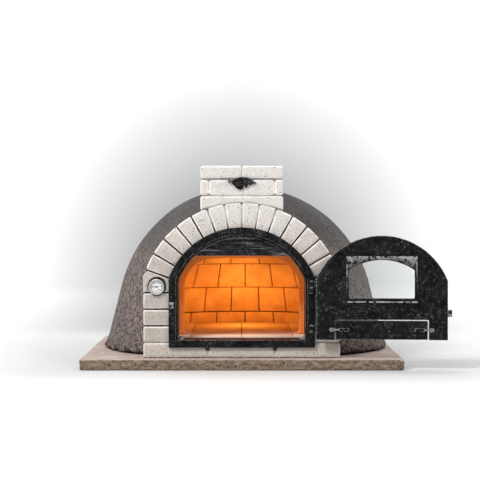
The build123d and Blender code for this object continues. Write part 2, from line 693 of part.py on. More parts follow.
def door_frame():
    with BuildPart() as frame:
        add(arch_block(FRAME_Y, FACADE_Y, FRAME_HALF, FRAME_RADIUS, FRAME_BOTTOM))
        chamfer(frame.faces().sort_by(Axis.Y)[0].edges(), RIM_CHAMFER)
        add(arch_block(FRAME_Y - 1, FACADE_Y + 1, REBATE_HALF, REBATE_RADIUS, LEDGE_TOP), mode=Mode.SUBTRACT)
        add(arch_block(REBATE_BACK, SLEEVE_BACK, SLEEVE_OUTER_HALF, SLEEVE_OUTER_RADIUS, SLEEVE_BOTTOM))
        throat = arch_block(REBATE_BACK - 1, SLEEVE_BACK + 1, SLEEVE_HALF, SLEEVE_RADIUS, LEDGE_TOP)
        add(throat, mode=Mode.SUBTRACT)
        for low, high in KNUCKLES:
            add(hinge_knuckle(low, high, KNUCKLE_RADIUS))
            add(box_between((HINGE_X - 8.5, HINGE_Y, low), (HINGE_X + 8.5, FRAME_Y + 2, high)))
            add(hinge_knuckle(low - 1, high + 1, PIN_RADIUS), mode=Mode.SUBTRACT)
    save(frame.part, "door_frame")

    with BuildPart() as pins:
        for low, high in KNUCKLES:
            add(hinge_knuckle(low, high + 24, PIN_RADIUS))
    save(pins.part, "hinge_pins")

    baffle_top = SLEEVE_RADIUS + ARCH_Z + 1
    with BuildPart() as baffle:
        add(arch_block(BAFFLE_Y, BAFFLE_Y + BAFFLE_THICK, SLEEVE_HALF, SLEEVE_RADIUS, LEDGE_TOP))
        add(box_between((-300, -600, 0), (300, 0, BAFFLE_BOTTOM)), mode=Mode.SUBTRACT)
        add(box_between((-300, BAFFLE_Y - 1, baffle_top), (300, 0, baffle_top + 9)), mode=Mode.SUBTRACT)
    save(baffle.part, "smoke_baffle")

    with BuildPart() as gussets:
        for side in (-1, 1):
            with BuildSketch(front(BAFFLE_Y)):
                corner = side * SLEEVE_HALF
                foot = (corner - side * GUSSET, LEDGE_TOP)
                Polygon((corner, LEDGE_TOP), foot, (corner, LEDGE_TOP + GUSSET - 3), align=None)
            extrude(amount=-BAFFLE_THICK)
    save(gussets.part, "frame_gussets")

    with BuildPart() as anchors:
        for x in SILL_JOINTS:
            lug = [(x - 8, FRAME_BOTTOM), (x - 5, ANCHOR_Z - 5), (x + 5, ANCHOR_Z - 5), (x + 8, FRAME_BOTTOM)]
            add(block_group(FACADE_Y - 3, FACADE_Y, [lug]))
            add(cylinder_y(x, ANCHOR_Z, FACADE_Y, ANCHOR_END, ANCHOR_SHANK))
    save(anchors.part, "frame_anchors")

    # Keeper: a post on the rim and a bridge that stands out over the latch's tongue.
    keeper_left = -FRAME_HALF + 3
    with BuildPart() as keeper:
        corner = (keeper_left, FRAME_Y - 12, KEEPER_Z[0])
        add(box_between(corner, (keeper_left + 5, FRAME_Y, KEEPER_Z[1])))
        add(box_between(corner, (keeper_left + 15, FRAME_Y - 8.5, KEEPER_Z[1])))
        chamfer(keeper.edges().filter_by(Axis.Z).group_by(Axis.Y)[0], 1)
    save(keeper.part, "latch_keeper")


# Door -----------------------------------------------------------------------------------------
def door_plane(inward=0):
    """Plane of the open door; inward is measured from the hinge axis towards the inner face."""
    turn = radians(DOOR_OPEN)
    origin = (HINGE_X - inward * sin(turn), HINGE_Y + inward * cos(turn), 0)
    return Plane(origin=origin, x_dir=(-cos(turn), -sin(turn), 0), z_dir=(-sin(turn), cos(turn), 0))


def door_prism(outline, low, high):
    """Solid of a closed outline on the door, between two depths from the hinge axis."""
    with BuildPart() as prism:
        with BuildSketch(door_plane(low)):
            Polygon(*outline, align=None)
        extrude(amount=high - low)
    return prism.part


def door_box(left, right, bottom, top, low, high):
    return door_prism([(left, bottom), (right, bottom), (right, top), (left, top)], low, high)


def centred_box(half, bottom, top, low, high):
    """Box on the door's centre line."""
    return door_box(DOOR_MID - half, DOOR_MID + half, bottom, top, low, high)


def door_disc(x, z, low, high, radius):
    """Cylinder square to the door."""
    with BuildPart() as disc:
        with BuildSketch(door_plane(low)):
            with Locations((x, z)):
                Circle(radius)
        extrude(amount=high - low)
    return disc.part


def door_rod(start, end, z, inward, radius):
    """Rod along the door's width."""
    plane = door_plane(inward)
    with BuildPart() as rod:
        with BuildSketch(Plane(origin=plane.from_local_coords((start, z, 0)), z_dir=plane.x_dir)):
            Circle(radius)
        extrude(amount=end - start)
    return rod.part


def door_arch(half, bottom, side_top, top, low, high, corner=0):
    """Solid of an arched outline centred on the door; corner rounds the two lower corners."""
    left = DOOR_MID - half
    right = DOOR_MID + half
    with BuildPart() as block:
        with BuildSketch(door_plane(low)) as face:
            with BuildLine():
                Polyline((left, side_top), (left, bottom), (right, bottom), (right, side_top))
                ThreePointArc((right, side_top), (DOOR_MID, top), (left, side_top))
            make_face()
            if corner:
                fillet(face.vertices().group_by(Axis.Y)[0], corner)
        extrude(amount=high - low)
    return block.part


def window_block(grow, low, high):
    """Arched window outline, grown on every side."""
    side_top = WINDOW_BOTTOM + WINDOW_SIDE
    top = side_top + WINDOW_RISE + grow
    return door_arch(WINDOW_HALF + grow, WINDOW_BOTTOM - grow, side_top, top, low, high, corner=4)


def door_panel():
    spring = ARCH_Z + sqrt(DOOR_RADIUS**2 - DOOR_HALF**2)
    cut_half = FLAP_HALF + FLAP_GAP
    pocket_half = GLASS_HALF + 1
    pocket_floor = GLASS_IN - GASKET_THICK
    with BuildPart() as panel:
        add(door_arch(DOOR_HALF, DOOR_BOTTOM, spring, ARCH_Z + DOOR_RADIUS, DOOR_OUTER, DOOR_INNER))
        add(window_block(0, DOOR_OUTER - 1, DOOR_INNER + 1), mode=Mode.SUBTRACT)
        add(
            centred_box(pocket_half, GLASS_BOTTOM - 1, GLASS_TOP + 1, pocket_floor, DOOR_INNER + 1),
            mode=Mode.SUBTRACT,
        )
        add(
            centred_box(cut_half, DOOR_BOTTOM - 1, FLAP_TOP + FLAP_GAP, DOOR_OUTER - 1, DOOR_INNER + 1),
            mode=Mode.SUBTRACT,
        )
        for low, high in KNUCKLES:
            arm_low = high + KNUCKLE_GAP
            arm_high = arm_low + high - low
            add(hinge_knuckle(arm_low, arm_high, KNUCKLE_RADIUS))
            add(door_box(0, 62, arm_low, arm_high, 2, 9.5))
            add(door_box(18, 62, arm_low, arm_high, 9, DOOR_OUTER + 1))
            add(hinge_knuckle(arm_low - 1, arm_high + 1, PIN_RADIUS + PIN_CLEAR), mode=Mode.SUBTRACT)
        add(door_disc(LATCH_X, LATCH_Z, DOOR_OUTER - 1, DOOR_INNER + 1, 4), mode=Mode.SUBTRACT)
    save(panel.part, "door_panel")


def door_fittings():
    glass_inner = GLASS_IN + GLASS_THICK
    retainer_inner = DOOR_INNER + RETAINER_THICK
    save(centred_box(GLASS_HALF, GLASS_BOTTOM, GLASS_TOP, GLASS_IN, glass_inner), "door_glass")

    with BuildPart() as gasket:
        add(centred_box(GLASS_HALF, GLASS_BOTTOM, GLASS_TOP, GLASS_IN - GASKET_THICK, GLASS_IN))
        add(window_block(1, GLASS_IN - 3, GLASS_IN + 1), mode=Mode.SUBTRACT)
    save(gasket.part, "glass_gasket")

    with BuildPart() as retainer:
        add(centred_box(RETAINER_HALF, RETAINER_BOTTOM, RETAINER_TOP, DOOR_INNER, retainer_inner))
        add(window_block(0.5, DOOR_INNER - 1, retainer_inner + 1), mode=Mode.SUBTRACT)
        lip_top = RETAINER_BOTTOM + 5
        add(centred_box(RETAINER_HALF, RETAINER_BOTTOM, lip_top, retainer_inner, retainer_inner + 2))
    save(retainer.part, "glass_retainer")

    # Side screws, each with a tongue that laps over the retainer.
    screw_z = WINDOW_BOTTOM + 67
    with BuildPart() as screws:
        for side in (-1, 1):
            x = DOOR_MID + side * (RETAINER_HALF + 8)
            left, right = sorted((x, x - side * 16))
            add(door_disc(x, screw_z, DOOR_INNER, retainer_inner + 1, 5))
            add(door_box(left, right, screw_z - 4, screw_z + 4, retainer_inner, retainer_inner + 2))
            add(door_disc(x, screw_z, retainer_inner, retainer_inner + 3, 4))
    save(screws.part, "retainer_screws")

    # Bottom clip: a foot on the door, a riser past the retainer's lip, and a finger over it.
    clip_x = DOOR_MID - 24
    clip_left = clip_x - 5
    clip_right = clip_x + 5
    under_lip = RETAINER_BOTTOM - 6
    foot = RETAINER_BOTTOM - 16
    with BuildPart() as clip:
        add(door_box(clip_left, clip_right, foot, RETAINER_BOTTOM, DOOR_INNER, retainer_inner))
        add(door_box(clip_left, clip_right, under_lip, RETAINER_BOTTOM, DOOR_INNER + 2, DOOR_INNER + 6))
        add(door_box(clip_left, clip_right, under_lip, RETAINER_BOTTOM + 12, DOOR_INNER + 5, DOOR_INNER + 7))
        add(door_disc(clip_x, RETAINER_BOTTOM - 11, DOOR_INNER + 2, DOOR_INNER + 6, 3.5))
    save(clip.part, "glass_clip")

    with BuildPart() as saddles:
        for side in (-1, 1):
            near = DOOR_MID + side * (FLAP_HALF + FLAP_GAP + 3)
            far = DOOR_MID + side * (FLAP_PIN_ENDS[1] - 2)
            left, right = sorted((near, far))
            add(door_box(left, right, FLAP_AXIS_Z - 7, FLAP_AXIS_Z + 7, DOOR_INNER, DOOR_INNER + 8))
            add(
                door_rod(left - 1, right + 1, FLAP_AXIS_Z, FLAP_AXIS_IN, FLAP_PIN + PIN_CLEAR),
                mode=Mode.SUBTRACT,
            )
        chamfer(saddles.edges().filter_by(lambda edge: abs(edge.length - 8) < 0.01), 2)
    save(saddles.part, "flap_saddles")

    with BuildPart() as bolt:
        add(door_disc(LATCH_X, LATCH_Z, 3, DOOR_INNER, PIN_RADIUS))
        add(door_disc(LATCH_X, LATCH_Z, 0, 3, 7))
        add(door_disc(LATCH_X, LATCH_Z, DOOR_INNER, DOOR_INNER + 4, 7))
    save(bolt.part, "latch_bolt")


def air_flap():
    with BuildPart() as flap:
        add(centred_box(FLAP_HALF, FLAP_BOTTOM, FLAP_TOP, FLAP_OUTER, FLAP_INNER))
        for side in (-1, 1):
            near = DOOR_MID + side * FLAP_PIN_ENDS[0]
            left, right = sorted((near, near + side * 34))
            add(door_box(left, right, FLAP_AXIS_Z - 6, FLAP_AXIS_Z + 6, FLAP_INNER - 1, FLAP_INNER + 8))
            add(door_rod(left - 1, right + 1, FLAP_AXIS_Z, FLAP_AXIS_IN, FLAP_PIN), mode=Mode.SUBTRACT)
    save(flap.part, "air_flap")

    with BuildPart() as pins:
        for side in (-1, 1):
            ends = sorted((DOOR_MID + side * FLAP_PIN_ENDS[0], DOOR_MID + side * FLAP_PIN_ENDS[1]))
            add(door_rod(ends[0], ends[1], FLAP_AXIS_Z, FLAP_AXIS_IN, FLAP_PIN))
    save(pins.part, "flap_pins")

    rod_half = FLAP_PULL_HALF + 8
    with BuildPart() as handle:
        add(door_rod(DOOR_MID - rod_half, DOOR_MID + rod_half, FLAP_PULL_Z, FLAP_PULL_OUT, 4))
        for side in (-1, 1):
            add(door_disc(DOOR_MID + side * FLAP_PULL_HALF, FLAP_PULL_Z, FLAP_PULL_OUT, FLAP_OUTER, 4))
    save(handle.part, "flap_handle")

    with BuildPart() as screws:
        for side in (-1, 1):
            x = DOOR_MID + side * FLAP_PULL_HALF
            add(door_disc(x, FLAP_PULL_Z, FLAP_INNER, FLAP_INNER + 4, 4.5))
    save(screws.part, "flap_handle_screws")


def latch_arm(length, root_half, tip_half, depths):
    """Tapered bar out from the latch's eye; a negative length points towards the grip."""
    tip_x = LATCH_X + length
    outline = [
        (LATCH_X, LATCH_Z - root_half),
        (tip_x, LATCH_Z - tip_half),
        (tip_x, LATCH_Z + tip_half),
        (LATCH_X, LATCH_Z + root_half),
    ]
    return door_prism(outline, *depths)


def latch():
    eye = 12
    thin = (DOOR_OUTER - 7.5, DOOR_OUTER - 2)
    with BuildPart() as lever:
        add(door_disc(LATCH_X, LATCH_Z, *thin, eye))
        add(latch_arm(TONGUE_END - LATCH_X, 11, 12, thin))
        add(latch_arm(-76, 8, 5, thin))
        add(door_disc(LATCH_X, LATCH_Z, 0, DOOR_OUTER, PIN_RADIUS + PIN_CLEAR), mode=Mode.SUBTRACT)
    save(lever.part, "latch_lever")

    with BuildPart() as grip:
        add(door_disc(LATCH_X - 68, LATCH_Z, thin[0] - 30, thin[0], 7))
        add(door_disc(LATCH_X - 68, LATCH_Z, thin[0] - 44, thin[0] - 26, 14))
        fillet(grip.edges().filter_by(GeomType.CIRCLE).filter_by(lambda edge: edge.radius > 13), 5)
    save(grip.part, "latch_grip")


base_slab()
hearth()
dome_courses()
dome_shells()
entrance_vault()
doorway_arch()
facade()
chimney()
damper()
thermometer()
door_frame()
door_panel()
door_fittings()
air_flap()
latch()
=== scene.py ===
"""Looks of the wood fired pizza oven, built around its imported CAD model. Metres, +Z up."""
import math

import bmesh
import bpy
import numpy as np
from mathutils import Matrix, Vector


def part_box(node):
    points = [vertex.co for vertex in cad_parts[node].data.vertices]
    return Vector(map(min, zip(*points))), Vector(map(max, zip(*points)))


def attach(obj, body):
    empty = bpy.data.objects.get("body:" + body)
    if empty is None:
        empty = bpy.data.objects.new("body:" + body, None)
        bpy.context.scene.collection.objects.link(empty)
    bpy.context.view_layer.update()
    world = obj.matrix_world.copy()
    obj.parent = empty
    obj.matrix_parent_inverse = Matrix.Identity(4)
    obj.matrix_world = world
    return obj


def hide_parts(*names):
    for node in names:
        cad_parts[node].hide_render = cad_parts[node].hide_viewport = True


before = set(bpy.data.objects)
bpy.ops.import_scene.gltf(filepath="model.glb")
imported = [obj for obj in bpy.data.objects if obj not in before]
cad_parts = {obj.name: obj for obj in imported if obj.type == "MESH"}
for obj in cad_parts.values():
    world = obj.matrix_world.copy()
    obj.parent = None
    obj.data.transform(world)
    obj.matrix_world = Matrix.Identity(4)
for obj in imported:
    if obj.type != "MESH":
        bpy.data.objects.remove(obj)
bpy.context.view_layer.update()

MM = 0.001
VOXEL_SCALE = 1.0

# Places on the CAD model
SLAB_LOW, SLAB_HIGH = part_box("base_slab")
SLAB_TOP = SLAB_HIGH.z
HEARTH_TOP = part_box("hearth_tiles")[1].z
SILL_LOW, SILL_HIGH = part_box("sill_bricks")
SILL_TOP = SILL_HIGH.z
SILL_JOINTS_X = (-117 * MM, 113 * MM)
FACADE_Y = SILL_LOW.y
DOME_FRONT_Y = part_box("dome_render")[0].y
DOME_MIDDLE_Z = 0.15
ARCH_CENTRE_Z = SLAB_TOP + 180.4 * MM
ARCH_OUTER = 350 * MM
GAUGE_LOW, GAUGE_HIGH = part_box("thermometer_dial")
GAUGE_CENTRE = (GAUGE_LOW + GAUGE_HIGH) / 2

# Where a surface changes: each pair is the start and the end of the change
PALER_AND_TOP_LIT_BRICKS_Z = (0.40, 0.55)
CLEAN_JOINTS_Z = (0.47, 0.52)
CLEAN_JOINTS_HALF_WIDTH = (0.08, 0.17)
GREY_CROWN_Z = (0.30, 0.48)
COARSE_RENDER_Z = (0.28, 0.46)
SOOT_Z = (0.22, 0.46)
SWEPT_AND_LIT_HEARTH_Y = (-0.30, -0.25)

# Thermometer: its fit in the bricks, and its scale in degrees clockwise from the top
GAUGE_FIT = 0.93
GAUGE_HOLE_SHIFT = (1.5 * MM, 2 * MM)
GAUGE_HOLE_RADII = (30.5 * MM, 32.5 * MM)
GAUGE_HOLE_DEPTH = 9 * MM
SCALE_START, SCALE_SWEEP = -135, 270
NUMBERS, NUMBER_STEP = 6, 100
TICKS, LONG_TICK_EVERY = 31, 6
TICK_OUTER = 22 * MM
NUMBER_RADIUS, RED_MARK_RADIUS = 12.6 * MM, 13.5 * MM

# Damper pull: places along the leaf, and the scroll's middle as shares of the CAD handle's size
LEAF_START = 0.16
LEAF_NOTCHES = ((0.50, 0.62), (0.68, 0.50))
LEAF_NOTCH_WIDTH = 0.035
LEAF_RIBS = 9
LEAF_RIM, LEAF_DOME, LEAF_RIB = 2.4 * MM, 3.6 * MM, 2.2 * MM
SCROLL_MIDDLE = (0.085, 0.12)
SCROLL_TURNS, SCROLL_STEPS = 1.35, 45
SCROLL_INNER, SCROLL_OUTER = 1.2 * MM, 6.4 * MM

# Stage, lights and camera
STAGE_HALF_WIDTH, STAGE_FRONT, STAGE_BACK, STAGE_TOP = 12.0, -11.0, 7.5, 9.0
SWEEP_RADIUS = 1.6
STAGE_GAP = 0.3 * MM
HALO_RADII = (0.66, 2.14)
HALO_FRONT_Y = 0.5
HALO_FRONT_WIDTH = 0.483
HALO_LIFT_Y, HALO_LIFT = (0.5, 5.5), (-0.46, 0.08)
HALO_FADE_Y = (0.4, 1.6)
CONTACT_REACH = 0.60
CONTACT_FADE_Y = (0.5, 1.3)
BACKDROP_LAMP_POWER = 176
WORLD_COLOUR, WORLD_STRENGTH = (0.95, 0.97, 1.0, 1.0), 0.31
CAMERA_PLACE = (-0.006, -6.05, 0.535)
CAMERA_TILT = 0.98
CAMERA_LENS = 122.3


# Noise on numpy points ------------------------------------------------------------------------
def hashed(cells, seed):
    """A number from 0 to 1 for each integer cell."""
    x, y, z = (cells[:, axis].astype(np.int64) for axis in range(3))
    h = (x * 73856093) ^ (y * 19349663) ^ (z * 83492791) ^ (seed * 2654435761)
    h = (h ^ (h >> 13)) & 0xFFFFFFFF
    h = (h * 1274126177) & 0xFFFFFFFF
    h = (h ^ (h >> 16)) & 0xFFFFFFFF
    return h / 0xFFFFFFFF


def value_noise(points, size, seed=0):
    """Smooth noise from -1 to 1, with features about as wide as size."""
    scaled = points / size + 1000.5
    low = np.floor(scaled)
    part = scaled - low
    part = part * part * (3 - 2 * part)
    total = np.zeros(len(points))
    for corner in range(8):
        step = np.array([corner & 1, corner >> 1 & 1, corner >> 2 & 1])
        weight = np.prod(np.where(step, part, 1 - part), axis=1)
        total += weight * hashed(low + step, seed)
    return total * 2 - 1


def fractal(points, size, octaves=3, seed=0):
    """Value noise summed over octaves, each half as wide and half as strong as the last."""
    total = np.zeros(len(points))
    for octave in range(octaves):
        total += value_noise(points, size / 2**octave, seed + octave) / 2**octave
    return total


def spots(points, spacing, radius, chance, seed):
    """Round dimples scattered through space: 1 at a dimple's centre, 0 outside it."""
    scaled = points / spacing + 1000.0
    base = np.floor(scaled)
    best = np.zeros(len(points))
    for dx in (-1, 0, 1):
        for dy in (-1, 0, 1):
            for dz in (-1, 0, 1):
                cell = base + np.array([dx, dy, dz])
                centre = cell + np.stack([hashed(cell, seed + axis) for axis in range(3)], axis=1)
                reach = radius * (0.4 + 0.6 * hashed(cell, seed + 3))
                away = np.linalg.norm(scaled - centre, axis=1) * spacing
                depth = np.clip(1 - away / reach, 0, 1)
                best = np.maximum(best, depth * (hashed(cell, seed + 4) < chance))
    return best


def smooth(low, high, value):
    """0 below low, 1 above high, and a smooth step between."""
    t = np.clip((value - low) / (high - low), 0, 1)
    return t * t * (3 - 2 * t)


# Mesh helpers ---------------------------------------------------------------------------------
def node_mesh(node):
    """Clean copy of a CAD node: welded, with flat areas joined into single faces."""
    mesh = bmesh.new()
    mesh.from_mesh(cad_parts[node].data)
    bmesh.ops.remove_doubles(mesh, verts=mesh.verts, dist=0.02 * MM)
    flat = math.radians(1.5)
    bmesh.ops.dissolve_limit(mesh, angle_limit=flat, verts=mesh.verts, edges=mesh.edges)
    return mesh


def bevel(mesh, width, segments=2):
    """Rounds every edge that turns by more than 30 degrees."""
    least = math.radians(30)
    sharp = [edge for edge in mesh.edges if len(edge.link_faces) == 2 and edge.calc_face_angle(0) > least]
    bmesh.ops.bevel(mesh, geom=sharp, offset=width, segments=segments, profile=0.5,
                    affect="EDGES", clamp_overlap=True)


def new_object(name, data):
    piece = bpy.data.objects.new(name, data)
    bpy.context.scene.collection.objects.link(piece)
    return piece


def finish_mesh(mesh, name, sharp_angle=35):
    """Object from a bmesh: smooth shading, with edges kept sharp above an angle."""
    for edge in mesh.edges:
        edge.smooth = len(edge.link_faces) != 2 or edge.calc_face_angle(0) < math.radians(sharp_angle)
    for face in mesh.faces:
        face.smooth = True
    data = bpy.data.meshes.new(name)
    mesh.to_mesh(data)
    mesh.free()
    return new_object(name, data)


def prism(mesh, front, back):
    """Closed solid between two outlines with the same number of corners."""
    mesh.faces.new(front)
    mesh.faces.new(back[::-1])
    for here in range(len(front)):
        there = (here + 1) % len(front)
        mesh.faces.new((front[here], back[here], back[there], front[there]))


def applied(piece):
    """Bakes a piece's modifiers into its mesh."""
    bpy.context.view_layer.update()
    graph = bpy.context.evaluated_depsgraph_get()
    data = bpy.data.meshes.new_from_object(piece.evaluated_get(graph))
    piece.modifiers.clear()
    piece.data = data
    return piece


def remesh(piece, voxel):
    """Even fine mesh over a piece, for surface relief to move."""
    modifier = piece.modifiers.new("voxels", "REMESH")
    modifier.mode = "VOXEL"
    modifier.voxel_size = voxel * VOXEL_SCALE
    modifier.use_smooth_shade = True
    return applied(piece)


def points_of(piece):
    """Vertex places and normals as arrays."""
    count = len(piece.data.vertices)
    places = np.zeros(count * 3)
    normals = np.zeros(count * 3)
    piece.data.vertices.foreach_get("co", places)
    piece.data.vertices.foreach_get("normal", normals)
    return places.reshape(-1, 3), normals.reshape(-1, 3)


def set_points(piece, places):
    piece.data.vertices.foreach_set("co", places.ravel())
    piece.data.update()


def set_attribute(piece, name, values):
    """Stores a number at each vertex for a material to read."""
    attribute = piece.data.attributes.new(name, "FLOAT", "POINT")
    attribute.data.foreach_set("value", values.astype(np.float32))


def place(piece, material, body, slot, *nodes):
    """Gives a piece its material and body, and hides the CAD nodes that it stands for. The slot is not
    used.
    """
    piece.data.materials.clear()
    piece.data.materials.append(material)
    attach(piece, body)
    if nodes:
        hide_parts(*nodes)


def coat(material, *nodes):
    """Gives CAD nodes that stay on show their material."""
    for node in nodes:
        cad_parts[node].data.materials[0] = material


# Materials ------------------------------------------------------------------------------------
class Shader:
    """Small builder for a node material around one Principled shader."""

    def __init__(self, name, roughness=0.8, metallic=0.0, specular=0.5):
        self.material = bpy.data.materials.new(name)
        self.material.use_nodes = True
        self.tree = self.material.node_tree
        self.shader = self.tree.nodes["Principled BSDF"]
        self.shader.inputs["Roughness"].default_value = roughness
        self.shader.inputs["Metallic"].default_value = metallic
        self.shader.inputs["Specular IOR Level"].default_value = specular
        self.coordinates = self.add("ShaderNodeTexCoord").outputs["Object"]

    def add(self, kind, **inputs):
        node = self.tree.nodes.new(kind)
        for key, value in inputs.items():
            self.feed(node.inputs[key], value)
        return node

    def feed(self, socket, value):
        """Links an input to a socket, or sets it to a number or colour."""
        if isinstance(value, bpy.types.NodeSocket):
            self.tree.links.new(value, socket)
        else:
            socket.default_value = value

    def noise(self, scale, detail=4.0, stretch=None, rough=0.55):
        """Noise with features about 1/scale metres wide."""
        vector = self.coordinates
        if stretch:
            vector = self.add("ShaderNodeMapping", Vector=vector, Scale=stretch).outputs["Vector"]
        node = self.add("ShaderNodeTexNoise", Vector=vector, Scale=scale, Detail=detail, Roughness=rough)
        return node.outputs["Fac"]

    def cells(self, scale):
        """Distance from the nearest of points scattered about 1/scale metres apart."""
        return self.add("ShaderNodeTexVoronoi", Vector=self.coordinates, Scale=scale).outputs["Distance"]

    def attribute(self, name):
        node = self.tree.nodes.new("ShaderNodeAttribute")
        node.attribute_name = name
        return node.outputs["Fac"]

    def geometry(self, output):
        return self.add("ShaderNodeNewGeometry").outputs[output]

    def part(self, axis, source=None):
        """One coordinate of the place, or of another vector."""
        return self.add("ShaderNodeSeparateXYZ", Vector=source or self.coordinates).outputs[axis]

    def band(self, value, low, high, start=0.0, end=1.0, smooth=True):
        """Value mapped from low..high to start..end."""
        node = self.tree.nodes.new("ShaderNodeMapRange")
        node.interpolation_type = "SMOOTHSTEP" if smooth else "LINEAR"
        names = ("Value", "From Min", "From Max", "To Min", "To Max")
        for key, number in zip(names, (value, low, high, start, end)):
            self.feed(node.inputs[key], number)
        return node.outputs["Result"]

    def mix(self, factor, first, second):
        node = self.tree.nodes.new("ShaderNodeMix")
        node.data_type = "RGBA"
        self.feed(node.inputs["Factor"], factor)
        for socket, colour in ((node.inputs["A"], first), (node.inputs["B"], second)):
            self.feed(socket, colour if isinstance(colour, bpy.types.NodeSocket) else (*colour, 1.0))
        return node.outputs["Result"]

    def mottled(self, scale, detail, first, second, low=0.35, high=0.65):
        """Two colours in patches about 1/scale metres wide."""
        return self.mix(self.band(self.noise(scale, detail), low, high), first, second)

    def math(self, operation, first, second=0.0):
        node = self.tree.nodes.new("ShaderNodeMath")
        node.operation = operation
        self.feed(node.inputs[0], first)
        self.feed(node.inputs[1], second)
        return node.outputs[0]

    def times(self, first, second):
        return self.math("MULTIPLY", first, second)

    def length(self, first, second):
        """Length of the diagonal over two sides."""
        squares = self.math("ADD", self.times(first, first), self.times(second, second))
        return self.math("POWER", squares, 0.5)

    def colour(self, value):
        self.feed(self.shader.inputs["Base Color"], value)

    def rough(self, value):
        self.feed(self.shader.inputs["Roughness"], value)

    def bump(self, height, depth, strength=1.0):
        """Adds surface relief on top of any that the shader has."""
        node = self.add("ShaderNodeBump", Height=height, Distance=depth, Strength=strength)
        previous = self.shader.inputs["Normal"].links
        if previous:
            self.tree.links.new(previous[0].from_socket, node.inputs["Normal"])
        self.tree.links.new(node.outputs["Normal"], self.shader.inputs["Normal"])


def brick_material():
    """Pale refractory brick: sandy, slightly uneven, dark in its pits, with painted light and shade in its
    colour.
    """
    s = Shader("pale_brick", roughness=0.9, specular=0.25)
    height = s.part("Z")
    body = s.mottled(9, 3, (0.53, 0.48, 0.435), (0.63, 0.58, 0.53))
    # Paler higher up: partly the bricks' own tone, partly painted light from above.
    body = s.mix(s.band(height, *PALER_AND_TOP_LIT_BRICKS_Z), body, (0.76, 0.725, 0.68))
    # Painted light: the sill bricks a touch lighter, to lift the door frame's shadow on them.
    in_sill = s.band(height, SILL_TOP - 1 * MM, SILL_TOP + 3 * MM, 1.0, 0.0)
    body = s.mix(in_sill, body, (0.66, 0.60, 0.54))
    grain = s.band(s.noise(380, 4, rough=0.8), 0.34, 0.60)
    body = s.mix(grain, s.mix(0.58, body, (0.16, 0.13, 0.11)), body)
    # Painted highlight on the bevels that face forward.
    body = s.mix(s.attribute("rim"), body, (0.93, 0.89, 0.84))
    # Painted contact shadow along the foot of the sill bricks, where they meet the slab.
    foot = s.band(height, SLAB_TOP + 1 * MM, SLAB_TOP + 5 * MM, 0.9, 0.0)
    body = s.mix(s.times(foot, s.band(s.noise(90, 2), 0.34, 0.46)), body, (0.05, 0.035, 0.026))
    flecks = s.band(s.cells(95), 0.13, 0.22, 1.0, 0.0)
    body = s.mix(s.times(flecks, s.band(s.noise(60, 1), 0.50, 0.56)), body, (0.07, 0.05, 0.04))
    # Dark in the pits, and painted shade in the thermometer's hole.
    s.colour(s.mix(s.attribute("pit"), body, (0.06, 0.045, 0.035)))
    s.bump(s.noise(420, 5, rough=0.7), 0.6 * MM, 0.7)
    return s.material


def mortar_material():
    """Joint mortar: pale over the arch and in the sill, and painted near black beside the mouth as shade in
    the deep joints.
    """
    s = Shader("joint_mortar", roughness=0.95, specular=0.15)
    height = s.part("Z")
    from_middle = s.math("ABSOLUTE", s.part("X"))
    over_arch = s.times(s.band(height, *CLEAN_JOINTS_Z),
                        s.band(from_middle, *CLEAN_JOINTS_HALF_WIDTH, 1.0, 0.0))
    in_sill = s.band(height, SILL_TOP, SILL_TOP + 6 * MM, 1.0, 0.0)
    # Painted shade: the joints beside the mouth are near black; the pale mix is the mortar's own colour.
    dark = s.mottled(140, 4, (0.008, 0.006, 0.005), (0.028, 0.021, 0.017))
    pale = s.mottled(140, 4, (0.40, 0.37, 0.33), (0.60, 0.56, 0.51))
    s.colour(s.mix(s.math("MAXIMUM", over_arch, in_sill), dark, pale))
    s.bump(s.noise(500, 4), 1.0 * MM)
    return s.material


def render_material():
    """Brushed cement render: grey over the crown, browner down the sides, streaked by the brush."""
    s = Shader("brushed_render", roughness=0.92, specular=0.2)
    height = s.part("Z")
    grain = s.noise(220, 5, stretch=(1.0, 1.0, 0.30), rough=0.75)
    blotches = s.band(s.noise(8, 5, rough=0.65), 0.35, 0.68)
    sides = s.mix(blotches, (0.160, 0.112, 0.100), (0.250, 0.184, 0.168))
    top = s.mix(blotches, (0.070, 0.068, 0.067), (0.112, 0.109, 0.107))
    crown = s.band(height, *GREY_CROWN_Z)
    body = s.mix(crown, sides, top)
    dark_grain = s.mix(s.band(crown, 0.0, 1.0, 0.85, 0.40), body, (0.016, 0.012, 0.010))
    light_grain = s.mix(s.band(crown, 0.0, 1.0, 0.42, 0.16), body, (0.56, 0.50, 0.47))
    body = s.mix(s.band(grain, 0.40, 0.62), dark_grain, light_grain)
    foot = s.band(height, SLAB_TOP + 6 * MM, SLAB_TOP + 45 * MM, 0.85, 0.0)
    body = s.mix(s.times(foot, s.band(s.noise(60, 3), 0.4, 0.6)), body, (0.03, 0.021, 0.017))
    # Dark in the pits, and painted shade in the undercut along the foot.
    s.colour(s.mix(s.attribute("pit"), body, (0.015, 0.011, 0.010)))
    s.bump(s.noise(260, 6, stretch=(1.0, 1.0, 0.35), rough=0.7), 1.4 * MM, 0.8)
    return s.material


